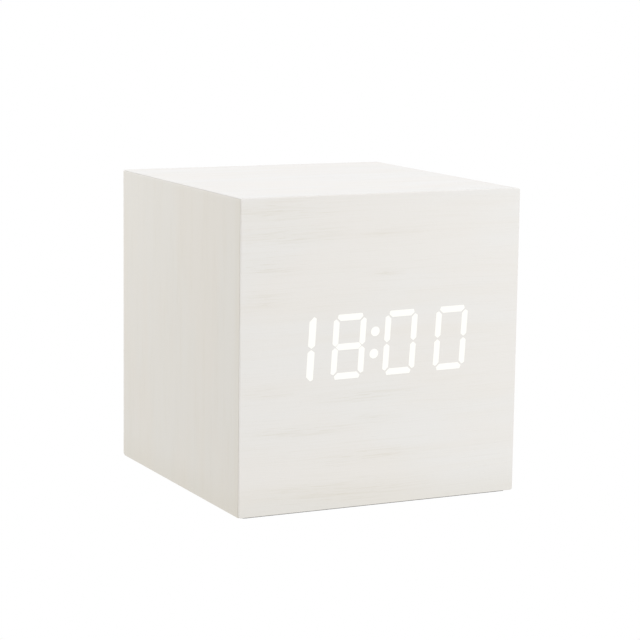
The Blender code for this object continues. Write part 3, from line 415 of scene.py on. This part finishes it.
def metal(name, colour, roughness, tarnish):
    """Plated metal with slightly uneven colour and polish."""
    made, tree, shader = start_material(name)
    place = place_of(tree)
    cloud = noise(tree, place, (1.6, 1.6, 1.6), detail=4.0)
    scratches = noise(tree, place, (4.0, 0.08, 0.08), detail=2.0, seed=3.0)
    feed(
        tree,
        shader,
        Base_Color=mix(tree, cloud, colour, tarnish),
        Roughness=spread_between(tree, scratches, roughness - 0.08, roughness + 0.12),
        Metallic=1.0,
    )
    bump(tree, shader, scratches, 0.004)
    return made


def zoned(name, base, zones, depth=0.006):
    """A finish that changes from place to place. base is (colour, roughness, metallic), and each zone is
    (function that returns its mask, colour, roughness, metallic)."""
    made, tree, shader = start_material(name)
    place = place_of(tree)
    axes = axes_of(tree, place)
    colour, roughness, metallic = laid_over(tree, axes, base, zones)
    cloud = noise(tree, place, (1.8, 1.8, 1.8), detail=4.0)
    brightness = spread_between(tree, cloud, 0.86, 1.08)
    shade = put(tree, "CombineXYZ", dict.fromkeys(range(3), brightness)).outputs[0]
    uneven = maths(tree, "ADD", roughness, spread_between(tree, cloud, -0.05, 0.07))
    shaded = mix(tree, 1.0, colour, shade, "MULTIPLY")
    feed(tree, shader, Base_Color=shaded, Roughness=uneven, Metallic=metallic)
    bump(tree, shader, noise(tree, place, (0.25, 0.25, 0.25), detail=2.0), depth)
    return made


def laid_over(tree, axes, base, zones):
    """Colour, roughness and metallic of base with the zones laid over it, each over those before it."""
    colour, roughness, metallic = base
    for mask_of, *zone in zones:
        mask = mask_of(tree, axes)
        colour = mix(tree, mask, colour, zone[0])
        roughness = number_between(tree, mask, roughness, zone[1])
        metallic = number_between(tree, mask, metallic, zone[2])
    return colour, roughness, metallic


def within(letter, low, high):
    """Mask of the stretch from low to high along an axis; either end may come first."""
    low, high = sorted((low, high))
    return lambda tree, axes: inside_span(tree, axes[letter], low, high)


def all_of(*masks):
    """Where all the masks are 1."""
    return lambda tree, axes: product(tree, *(mask(tree, axes) for mask in masks))


def round_spot(letters, centre, radius):
    """Mask of a disc, or of a rod across it, in the plane of the two axes."""
    return lambda tree, axes: maths(tree, "LESS_THAN", distance_from(tree, axes, letters, centre), radius)


def striped(letter, pitch, share, start):
    """Mask of stripes across an axis, each the first share of a pitch."""
    return lambda tree, axes: repeated(tree, axes[letter], pitch, share, start)


def middle_of(node):
    low, high = millimetres(node)
    return (low + high) / 2


BLACK = ((0.020, 0.020, 0.021), 0.45, 0.0)
TIN = ((0.70, 0.70, 0.69), 0.30, 1.0)
NICKEL = ((0.72, 0.70, 0.66), 0.25, 1.0)
GOLD = ((0.85, 0.62, 0.25), 0.25, 1.0)
PRINT_WHITE = ((0.72, 0.72, 0.70), 0.5, 0.0)


def cell_finish(node, towards):
    """Dark jacket with a silver band, a plus and a minus sign, and bare metal at both ends. towards is 1 or
    -1, the way along X that the positive end points."""
    low, high = millimetres(node)
    across = (low.y + high.y) / 2
    negative = low.x if towards > 0 else high.x

    def stretch(start, end):
        return within("X", negative + towards * start, negative + towards * end)

    def bar(middle, half_length, half_width):
        return all_of(
            stretch(middle - half_length, middle + half_length),
            within("Y", across - half_width, across + half_width),
            within("Z", -FAR, (low.z + high.z) / 2),
        )

    band, plus_at, minus_at, long, short = 33.0, 37.5, 5.5, 1.3, 0.28
    ring = (band - 1.1, band - 0.7)
    bare_negative, bare_positive = 0.35, 1.15
    length = high.x - low.x
    silver = ((0.74, 0.74, 0.75), 0.26, 0.85)
    dark = ((0.030, 0.045, 0.070), 0.30, 0.35)
    zones = [
        (stretch(band, length), *silver),
        (stretch(*ring), *silver),
        (bar(plus_at, long, short), *dark),
        (bar(plus_at, short, long), *dark),
        (bar(minus_at, short, long), *PRINT_WHITE),
        (stretch(-PAST, bare_negative), *NICKEL),
        (stretch(length - bare_positive, length + PAST), *NICKEL),
    ]
    return zoned(node + "_jacket", dark, zones)


def board_finish(node, covers=()):
    """Green solder mask with tracks under it and tinned pads. covers are zones that lie over it all."""
    made, tree, shader = start_material(node + "_circuit")
    place = place_of(tree)
    axes = axes_of(tree, place)
    flat = 90.0  # the pattern doesn't change through the board
    turn = maths(tree, "GREATER_THAN", noise(tree, place, (7.0, flat, 7.0), detail=0.0), 0.5)
    there = maths(tree, "GREATER_THAN", noise(tree, place, (5.0, flat, 5.0), detail=0.0, seed=9.0), 0.44)
    level, upright = (repeated(tree, axes[letter], 1.0, 0.35) for letter in "ZX")
    tracks = product(tree, number_between(tree, turn, level, upright), there)
    pitch, share = 2.54, 0.28
    some = maths(tree, "GREATER_THAN", noise(tree, place, (6.0, flat, 6.0), detail=0.0, seed=21.0), 0.56)
    pads = product(tree, *(repeated(tree, axes[letter], pitch, share, 0.3) for letter in "XZ"), some)
    colour = mix(tree, tracks, (0.008, 0.085, 0.035), (0.014, 0.150, 0.060))
    colour = mix(tree, pads, colour, TIN[0])
    roughness = number_between(tree, pads, 0.36, 0.28)
    colour, roughness, metallic = laid_over(tree, axes, (colour, roughness, pads), covers)
    relief = maths(tree, "MAXIMUM", tracks, pads)
    for mask_of, *_ in covers:
        relief = number_between(tree, mask_of(tree, axes), relief, 0.0)
    feed(tree, shader, Base_Color=colour, Roughness=roughness, Metallic=metallic)
    bump(tree, shader, relief, 0.03)
    return made


def led_board_finish():
    """A circuit board whose front is white, with white chips that have yellow tops."""
    low, high = millimetres("display_board")
    thickness, margin = 1.6, 0.02
    face = high.y - thickness
    outside = low.y - PAST
    front = (within("Y", outside, face + margin), (0.62, 0.63, 0.62), 0.4, 0.0)
    chips = (within("Y", outside, face - margin), (0.80, 0.80, 0.78), 0.45, 0.0)
    tops = (within("Y", outside, low.y + margin), (0.80, 0.62, 0.12), 0.35, 0.0)
    return board_finish("display_board", (front, chips, tops))


def socket_finish():
    """Steel shell, black tongue and gold contacts."""
    high = millimetres("usb_socket")[1]
    middle = middle_of("usb_socket")
    half_width, half_thickness, mouth = 3.32, 0.37, 6.3
    pitch, lip, back = 0.5, 1.3, 0.4
    tongue = all_of(
        within("X", middle.x - half_width, middle.x + half_width),
        within("Z", middle.z - half_thickness, middle.z + half_thickness),
        within("Y", high.y - mouth, high.y),
    )
    stripes = striped("X", pitch, 0.5, middle.x - pitch / 4)
    contacts = all_of(tongue, stripes, within("Y", high.y - mouth, high.y - lip))
    floor = within("Y", high.y - mouth, high.y - mouth + back)
    return zoned("charging_socket", TIN, [(floor, *BLACK), (tongue, *BLACK), (contacts, *GOLD)])


def button_finish(node):
    """Black cap whose sunk mark is filled with pale paint."""
    high = millimetres(node)[1]
    middle = middle_of(node)
    deepest, shallowest, reach = 0.4, 0.2, 1.7
    depths = within("Y", high.y - deepest, high.y - shallowest)
    sunk = all_of(depths, round_spot("XZ", (middle.x, middle.z), reach))
    return zoned(node + "_cap", BLACK, [(sunk, *PRINT_WHITE)], depth=0.010)


def switch_finish(node):
    """Black switch body under a steel cover held by four posts."""
    high = millimetres(node)[1]
    middle = middle_of(node)
    thickness, reach, post = 0.3, 2.2, 0.45
    cover = within("Y", high.y - thickness, high.y + PAST)
    zones = [(cover, *TIN)]
    for side_x in (-1, 1):
        for side_z in (-1, 1):
            place = (middle.x + side_x * reach, middle.z + side_z * reach)
            zones.append((round_spot("XZ", place, post), *BLACK))
    return zoned(node + "_finish", BLACK, zones)


def microphone_finish():
    """Tinned can with a disc of black felt on its end."""
    high, middle = millimetres("microphone")[1], middle_of("microphone")
    depth, radius = 0.05, 2.0
    spot = round_spot("XZ", (middle.x, middle.z), radius)
    felt = all_of(within("Y", high.y - depth, high.y + PAST), spot)
    return zoned("microphone_can", TIN, [(felt, (0.015, 0.015, 0.015), 0.9, 0.0)])


def thermistor_finish():
    """Dark bead on tinned leads."""
    low, high = millimetres("thermistor")
    bead = 2.2
    leads = within("Y", low.y - PAST, high.y - bead)
    return zoned("thermistor_bead", ((0.012, 0.030, 0.020), 0.25, 0.0), [(leads, *TIN)])


def microcontroller_finish():
    """Black body with tinned legs and a dimple at its first corner."""
    middle = middle_of("microcontroller")
    body_half, dimple_at, dimple = 5.02, 4.0, 0.45
    legs = [within("X", middle.x + side * body_half, middle.x + side * FAR) for side in (-1, 1)]
    spot = round_spot("XZ", (middle.x - dimple_at, middle.z + dimple_at), dimple)
    zones = [(leg, *TIN) for leg in legs] + [(spot, (0.07, 0.07, 0.07), 0.3, 0.0)]
    return zoned("microcontroller_case", ((0.018, 0.018, 0.018), 0.5, 0.0), zones)


def capacitor_finish():
    """Dark sleeve with a pale stripe, and a bare end."""
    low, middle = millimetres("capacitor")[0], middle_of("capacitor")
    stripe_from, stripe_to, depth, bare_radius = 2.0, 5.0, 0.5, 2.8
    stripe = within("X", middle.x + stripe_from, middle.x + stripe_to)
    spot = round_spot("XZ", (middle.x, middle.z), bare_radius)
    top = all_of(within("Y", low.y - PAST, low.y + depth), spot)
    sleeve = ((0.012, 0.014, 0.035), 0.35, 0.0)
    return zoned("capacitor_can", sleeve, [(stripe, (0.45, 0.46, 0.48), 0.4, 0.0), (top, *TIN)])


def ribbon_finish():
    """Grey flat cable with painted shade in the dips between its wires, and one red edge."""
    low, high = millimetres("ribbon_cable")
    wire, groove_share = 1.27, 0.16
    # painted shade: a dark stripe along each dip between the wires
    dip_shade = striped("X", wire, groove_share, low.x - groove_share / 2 * wire)
    edge = within("X", high.x - wire, high.x + PAST)
    grey = ((0.36, 0.36, 0.37), 0.5, 0.0)
    zones = [(edge, (0.42, 0.02, 0.02), 0.5, 0.0), (dip_shade, (0.16, 0.16, 0.17), 0.6, 0.0)]
    return zoned("ribbon", grey, zones)


# ---------------------------------------------------------------- shapes
def add_piece(name, mesh, material, body="housing"):
    """A new piece that rides on a body. Its mesh is in metres, in its place at rest."""
    mesh.materials.clear()
    mesh.materials.append(material)
    piece = bpy.data.objects.new(name, mesh)
    bpy.context.scene.collection.objects.link(piece)
    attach(piece, body)
    return piece


def smooth(mesh, angle=35.0):
    """Shades round sides smooth and keeps real edges sharp."""
    mesh.shade_smooth()
    mesh.set_sharp_from_angle(angle=math.radians(angle))


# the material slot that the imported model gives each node
SLOTS = {name: node.data.materials[0].name.split(".")[0] for name, node in NODES.items()}


def fine_copy(node, material, width, segments=2, corner=32.0, soft=35.0):
    """Shows a copy of a CAD node in its place. Edges of more than corner degrees are rounded by width, and
    those of up to soft degrees are shaded smooth."""
    shape = bmesh.new()
    shape.from_mesh(NODES[node].data)
    bmesh.ops.remove_doubles(shape, verts=shape.verts, dist=WELD)
    bmesh.ops.dissolve_limit(shape, angle_limit=math.radians(0.5), verts=shape.verts, edges=shape.edges)
    edges = []
    for edge in shape.edges:
        if len(edge.link_faces) == 2 and edge.calc_face_angle() > math.radians(corner):
            edges.append(edge)
    if width:
        bmesh.ops.bevel(
            shape,
            geom=edges,
            offset=width * MM,
            offset_type="OFFSET",
            segments=segments,
            profile=0.5,
            affect="EDGES",
            clamp_overlap=True,
        )
    mesh = bpy.data.meshes.new(node + "_fine")
    shape.to_mesh(mesh)
    shape.free()
    smooth(mesh, soft)
    return stand_in(node, mesh, material)


def stand_in(node, mesh, material):
    """Shows the mesh in the place of a CAD node, with large flat faces shaded flat."""
    piece = add_piece(node + "_fine", mesh, material, NODES[node]["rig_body"])
    normals = piece.modifiers.new("Normals", "WEIGHTED_NORMAL")
    normals.keep_sharp = True
    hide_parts(node)
    return piece


def turned(node, profile, origin, towards, material):
    """Shows a round shape in the place of a CAD node. The profile's (radius, height) points run down its
    outer side; heights are along towards from origin."""
    shape = bmesh.new()
    corners = [shape.verts.new((radius * MM, 0.0, height * MM)) for radius, height in profile]
    edges = [shape.edges.new(pair) for pair in zip(corners, corners[1:])]
    bmesh.ops.spin(
        shape,
        geom=corners + edges,
        axis=(0.0, 0.0, 1.0),
        cent=(0.0, 0.0, 0.0),
        angle=math.tau,
        steps=ROUND_SIDES,
        use_duplicate=False,
    )
    bmesh.ops.remove_doubles(shape, verts=shape.verts, dist=WELD)
    bmesh.ops.recalc_face_normals(shape, faces=shape.faces)
    turn = Vector(towards).to_track_quat("Z", "Y").to_matrix().to_4x4()
    bmesh.ops.transform(shape, matrix=Matrix.Translation(Vector(origin) * MM) @ turn, verts=shape.verts)
    mesh = bpy.data.meshes.new(node + "_fine")
    shape.to_mesh(mesh)
    shape.free()
    smooth(mesh)
    return stand_in(node, mesh, material)


def arc(centre, radius, start, end, steps=6):
    """Points on an arc from start to end degrees, as (radius, height) of a profile."""
    angles = [math.radians(start + (end - start) * step / steps) for step in range(steps + 1)]
    return [(centre[0] + radius * math.cos(a), centre[1] + radius * math.sin(a)) for a in angles]


def extruded(name, loops, y_span, material):
    """Closed (x, z) outlines in millimetres, filled and extruded along Y."""
    curve = bpy.data.curves.new(name, "CURVE")
    curve.dimensions = "2D"
    curve.fill_mode = "BOTH"
    curve.extrude = (y_span[1] - y_span[0]) / 2 * MM
    for loop in loops:
        spline = curve.splines.new("POLY")
        spline.points.add(len(loop) - 1)
        spline.use_cyclic_u = True
        for point, (x, z) in zip(spline.points, loop):
            point.co = (x * MM, z * MM, 0.0, 1.0)
    drawn = bpy.data.objects.new(name + "_outline", curve)
    bpy.context.scene.collection.objects.link(drawn)
    bpy.context.view_layer.update()
    mesh = bpy.data.meshes.new_from_object(drawn.evaluated_get(bpy.context.evaluated_depsgraph_get()))
    bpy.data.objects.remove(drawn, do_unlink=True)
    upright = Matrix.Rotation(math.radians(90), 4, "X")
    middle = Matrix.Translation((0.0, (y_span[0] + y_span[1]) / 2 * MM, 0.0))
    mesh.transform(middle @ upright)
    shape = bmesh.new()
    shape.from_mesh(mesh)
    bmesh.ops.remove_doubles(shape, verts=shape.verts, dist=WELD)
    bmesh.ops.recalc_face_normals(shape, faces=shape.faces)
    shape.to_mesh(mesh)
    shape.free()
    mesh.name = name
    return add_piece(name, mesh, material)


# ---------------------------------------------------------------- lit digits
LIT = {  # horizontal segments by level, then vertical ones by (side, level)
    "0": ((-1, 1), ((-1, -1), (-1, 1), (1, -1), (1, 1))),
    "1": ((), ((1, -1), (1, 1))),
    "8": ((-1, 0, 1), ((-1, -1), (-1, 1), (1, -1), (1, 1))),
}


def horizontal_segment(level):
    """Top (level 1), middle (0) or bottom (-1) segment of an upright digit, about the digit's centre."""
    half_w, half_h = DIGIT_WIDTH / 2, DIGIT_HEIGHT / 2
    if level:
        inner = (half_w - SEGMENT - BAR_INNER, half_h - SEGMENT)
        right = [inner, (half_w - BAR_TIP[0], half_h - BAR_TIP[1]), (half_w - BAR_SHOULDER, half_h)]
    else:
        tip = half_w - (SEGMENT + MIDDLE_GAP) / 2
        right = [(tip - SEGMENT / 2, -SEGMENT / 2), (tip, 0.0), (tip - SEGMENT / 2, SEGMENT / 2)]
    points = right + [(-x, z) for x, z in reversed(right)]
    return [(x, (level or 1) * z) for x, z in points]


def vertical_segment(side, level, longer, wider):
    """Left (side -1) or right (1), lower (level -1) or upper (1) segment of an upright digit."""
    half_w, half_h = DIGIT_WIDTH / 2, DIGIT_HEIGHT / 2
    end, width = half_h + longer, SEGMENT + wider
    points = [
        (half_w - width / 2, MIDDLE_GAP / 2),
        (half_w, MIDDLE_GAP / 2 + MIDDLE_SHOULDER),
        (half_w, end - POST_SHOULDER),
        (half_w - POST_TIP[0], end - POST_TIP[1]),
        (half_w - width, end - width - POST_INNER),
        (half_w - width, MIDDLE_GAP / 2 + MIDDLE_SHOULDER),
    ]
    return [(side * x, level * z) for x, z in points]


def rounded_corners(points, radius, steps=4):
    """The closed outline with an arc in place of each corner."""
    made = []
    count = len(points)
    for index, corner in enumerate(points):
        corner = Vector(corner)
        before = (Vector(points[index - 1]) - corner).normalized()
        after = (Vector(points[(index + 1) % count]) - corner).normalized()
        half = before.angle(after) / 2
        reach = radius / math.tan(half)
        start, end = corner + before * reach, corner + after * reach
        for step in range(steps + 1):
            share = step / steps
            near, far = start.lerp(corner, share), corner.lerp(end, share)
            made.append(tuple(near.lerp(far, share)))
    return made


def on_display(points, shift):
    """Points about a digit's centre, leant over, moved right by shift and turned with the display."""
    turn = Matrix.Rotation(DISPLAY_TILT, 2)
    moved = [turn @ Vector((x + shift + z * math.tan(SLANT), z)) for x, z in points]
    return [(x + DISPLAY_CENTRE[0], z + DISPLAY_CENTRE[1]) for x, z in moved]


def circle(centre, radius, steps=ROUND_SIDES):
    angles = [2 * math.pi * step / steps for step in range(steps)]
    return [(centre[0] + radius * math.cos(a), centre[1] + radius * math.sin(a)) for a in angles]


def glow():
    """White light, even across a segment."""
    made, tree, shader = start_material("lit_segment")
    feed(tree, shader, Base_Color=(0.10, 0.10, 0.10), Roughness=0.6, Specular_IOR_Level=0.1)
    feed(tree, shader, Emission_Color=(1.0, 1.0, 0.955), Emission_Strength=0.92)
    return made


def build_display():
    """What the lit LEDs show on the veneer: four digits and a colon."""
    light = glow()
    y_span = (FRONT - GLOW_PROUD, FRONT + GLOW_PROUD)
    corner = 0.18
    for index, digit in enumerate(SHOWN_TIME):
        shift = DIGIT_PITCH * (index - 1.5)
        if index == 0:
            shift += FIRST_DIGIT_SHIFT
        levels, sides = LIT[digit]
        outlines = [horizontal_segment(level) for level in levels]
        extra = (ONE_TALLER, ONE_WIDER) if digit == "1" else (0.0, 0.0)
        outlines += [vertical_segment(side, level, *extra) for side, level in sides]
        loops = [on_display(rounded_corners(outline, corner), shift) for outline in outlines]
        extruded(f"lit_digit_{index + 1}", loops, y_span, light)
    dots = []
    for level in (-1, 1):
        rise = COLON_RISE + level * COLON_SPACING / 2
        dots.append(on_display(circle((0.0, rise), COLON_DIAMETER / 2), 0.0))
    extruded("lit_colon", dots, y_span, light)


# ---------------------------------------------------------------- finishes for the whole clock
# painted light: the top panel a hair lighter and cooler, as where it is lit from above
TOP_PAINTED_LIGHT = (1.0, 1.006, 1.018)
PANELS = (  # node, axes along, across and through its grain, seed, depth, tint with painted light and shade, clear and edge darkening
    ("left_panel", "ZYX", 47.0, depth_from_side, SIDE_TONE_AND_SHADE, 0.35, EDGE_DARKENING),
    ("right_panel", "ZYX", 63.0, depth_from_side, SIDE_TONE_AND_SHADE, 0.6, EDGE_DARKENING),
    ("top_panel", "XYZ", 79.0, depth_from_top, TOP_PAINTED_LIGHT, 0.4, 0.0),
)


def build_wood():
    board = fibreboard()
    edge, edge_corner = 0.15, 60.0
    front = veneered("veneer_front", "XZY", 2.0, 0.008, front_streaks)
    rear = veneered("veneer_rear", "XZY", 31.0, -0.006, scattered_streaks)
    fine_copy("front_veneer", front, edge, 3, edge_corner)
    fine_copy("rear_veneer", rear, edge, 3, edge_corner)
    for name, *look in PANELS:
        fine_copy(name, veneered_board(name + "_finish", *look), 0.0)
    for name in ("front_board", "rear_board"):
        fine_copy(name, board, 0.0)
    for name in NODES:
        if name.startswith("corner_block"):
            fine_copy(name, board, edge)


def build_feet():
    rubber = moulded("rubber_foot", (0.030, 0.030, 0.031), 0.75, 0.15, 0.02)
    fillet, dish = 0.3, 0.05
    for name in NODES:
        if name.startswith("rubber_foot"):
            low, high = millimetres(name)
            radius, top = (high.x - low.x) / 2, high.z - low.z
            rim = arc((radius - fillet, fillet), fillet, 0.0, -90.0)
            profile = [(0.0, top), (radius, top), *rim, (radius - 2 * fillet, dish), (0.0, dish)]
            turned(name, profile, ((low.x + high.x) / 2, (low.y + high.y) / 2, low.z), (0, 0, 1), rubber)


def build_cells():
    """Cells with a rolled jacket, a stepped positive end with a rounded nub and a sunk negative end."""
    nub, nub_height, roll, step, rim = 1.9, 0.8, 0.35, 0.25, 3.9
    for row in range(3):
        name = f"aaa_cell_{row + 1}"
        towards = -1 if row % 2 else 1
        low, high = millimetres(name)
        middle = middle_of(name)
        radius, length = (high.z - low.z) / 2, high.x - low.x
        shoulder = length - nub_height
        profile = [(0.0, length), *arc((nub - roll, length - roll), roll, 90.0, 0.0)]
        profile += [(nub, shoulder - step), (rim, shoulder - step), (rim, shoulder)]
        profile += arc((radius - roll, shoulder - roll), roll, 90.0, 0.0)
        profile += arc((radius - roll, roll), roll, 0.0, -90.0)
        profile += [(rim, 0.0), (rim, step), (0.0, step)]
        origin = (low.x if towards > 0 else high.x, middle.y, middle.z)
        turned(name, profile, origin, (towards, 0, 0), cell_finish(name, towards))


def build_controls():
    for button in ("set", "down", "up"):
        fine_copy(button + "_button", button_finish(button + "_button"), 0.05)
        fine_copy(button + "_switch_body", switch_finish(button + "_switch_body"), 0.08)
    fine_copy("usb_socket", socket_finish(), 0.0)
    fine_copy("main_board", board_finish("main_board"), 0.0)
    fine_copy("display_board", led_board_finish(), 0.0)
    fine_copy("microphone", microphone_finish(), 0.0)
    fine_copy("thermistor", thermistor_finish(), 0.0)
    fine_copy("microcontroller", microcontroller_finish(), 0.0)
    fine_copy("capacitor", capacitor_finish(), 0.12)
    fine_copy("ribbon_cable", ribbon_finish(), 0.1)


ROUNDED = dict.fromkeys(("battery_door", "base_tray", "control_panel"), 0.10)


def build_rest():
    """Every other node, with the finish of its slot."""
    finishes = {
        "black_plastic": moulded("black_plastic", (0.018, 0.018, 0.019), 0.42),
        "screw_steel": metal("screw_steel", (0.60, 0.60, 0.61), 0.32, (0.48, 0.48, 0.50)),
        "contact_nickel": metal("contact_nickel", (0.72, 0.70, 0.66), 0.25, (0.62, 0.59, 0.54)),
        "light_mask": moulded("light_mask", (0.80, 0.80, 0.78), 0.5),
        "diffuser_film": moulded("diffuser_film", (0.86, 0.86, 0.84), 0.6),
        "component_black": moulded("component_black", (0.022, 0.022, 0.022), 0.5),
        "component_can": metal("component_can", (0.72, 0.72, 0.73), 0.28, (0.60, 0.60, 0.61)),
        "switch_plunger": moulded("switch_plunger", (0.08, 0.05, 0.035), 0.45),
        "wire_red": moulded("wire_red", (0.50, 0.02, 0.02), 0.4),
        "wire_black": moulded("wire_black", (0.018, 0.018, 0.018), 0.4),
    }
    for name, node in NODES.items():
        if not node.hide_render:
            soft = 60.0 if SLOTS[name] == "contact_nickel" else 35.0
            fine_copy(name, finishes[SLOTS[name]], ROUNDED.get(name, 0.0), soft=soft)


# ---------------------------------------------------------------- studio
def emission_floor():
    """Pure white to the camera from above, see-through from below, and a soft light for everything else."""
    made = bpy.data.materials.new("floor")
    made.use_nodes = True
    tree = made.node_tree
    tree.nodes.clear()
    seen = put(tree, "LightPath").outputs["Is Camera Ray"]
    colour = mix(tree, seen, (0.88, 0.87, 0.845), (1.0, 1.0, 1.0))
    light = put(tree, "Emission", {"Color": colour}).outputs[0]
    clear = put(tree, "BsdfTransparent").outputs[0]
    below = put(tree, "NewGeometry").outputs["Backfacing"]
    surface = put(tree, "MixShader", {0: below, 1: light, 2: clear}).outputs[0]
    out = put(tree, "OutputMaterial", {"Surface": surface})
    out.is_active_output = True
    return made


def build_floor():
    """A wide floor, far enough below the clock for its open battery door."""
    size, drop = 30.0, 0.05
    shape = bmesh.new()
    bmesh.ops.create_grid(shape, x_segments=1, y_segments=1, size=size / 2)
    mesh = bpy.data.meshes.new("floor")
    shape.to_mesh(mesh)
    shape.free()
    mesh.materials.append(emission_floor())
    floor = bpy.data.objects.new("floor", mesh)
    floor.location.z = -drop
    bpy.context.scene.collection.objects.link(floor)


WORLD_LIGHT = 0.88


def build_world():
    world = bpy.data.worlds.new("studio")
    world.use_nodes = True
    tree = world.node_tree
    tree.nodes.clear()
    seen = put(tree, "LightPath").outputs["Is Camera Ray"]
    strength = put(tree, "MapRange", {"Value": seen, "To Min": WORLD_LIGHT, "To Max": 1.0}).outputs[0]
    background = put(tree, "Background", {"Color": (1.0, 1.0, 1.0, 1.0), "Strength": strength}).outputs[0]
    put(tree, "OutputWorld", {"Surface": background})
    bpy.context.scene.world = world


DAYLIGHT = (1.0, 1.0, 1.0)
COOL = (0.88, 0.94, 1.0)
SOFTBOXES = (  # name, azimuth and elevation it shines from, distance, size, power, colour
    ("top_softbox", 20.0, 78.0, 1.2, 0.9, 3.25, DAYLIGHT),
    ("front_softbox", 52.0, 14.0, 0.30, 0.25, 0.187, COOL),
    ("side_softbox", -125.0, 20.0, 0.2, 0.12, 0.045, DAYLIGHT),
)


def direction(azimuth, elevation):
    """Unit vector towards an azimuth and elevation in degrees; azimuth 0 is in front of the clock."""
    a, e = math.radians(azimuth), math.radians(elevation)
    return Vector((math.sin(a) * math.cos(e), -math.cos(a) * math.cos(e), math.sin(e)))


def build_lights():
    centre = Vector((0.0, 0.0, TOP / 2 * MM))
    for name, azimuth, elevation, distance, size, power, colour in SOFTBOXES:
        lamp = bpy.data.lights.new(name, "AREA")
        lamp.shape = "DISK"
        lamp.size = size
        lamp.energy = power
        lamp.color = colour
        towards = direction(azimuth, elevation)
        made = bpy.data.objects.new(name, lamp)
        made.location = centre + towards * distance
        made.rotation_mode = "QUATERNION"
        made.rotation_quaternion = towards.to_track_quat("Z", "Y")
        bpy.context.scene.collection.objects.link(made)


CAMERA_AIM = Vector((-15.3, -34.0, 42.7)) * MM
CAMERA_AZIMUTH = -26.33
CAMERA_ELEVATION = 9.21
CAMERA_DISTANCE = 478.1 * MM
CAMERA_ROLL = math.radians(0.77)
CAMERA_LENS = 125.3


def build_camera():
    camera = bpy.data.cameras.new("camera")
    camera.lens = CAMERA_LENS
    camera.sensor_width = 36.0
    camera.clip_start, camera.clip_end = 0.01, 100.0
    made = bpy.data.objects.new("camera", camera)
    towards = direction(CAMERA_AZIMUTH, CAMERA_ELEVATION)
    made.location = CAMERA_AIM + towards * CAMERA_DISTANCE
    level = towards.to_track_quat("Z", "Y").to_matrix()
    made.rotation_euler = (level @ Matrix.Rotation(CAMERA_ROLL, 3, "Z")).to_euler()
    bpy.context.scene.collection.objects.link(made)
    bpy.context.scene.camera = made


def build_studio():
    build_floor()
    build_world()
    build_lights()
    build_camera()
    bpy.context.scene.view_settings.view_transform = "Standard"


build_wood()
build_display()
build_feet()
build_cells()
build_controls()
build_rest()
build_studio()
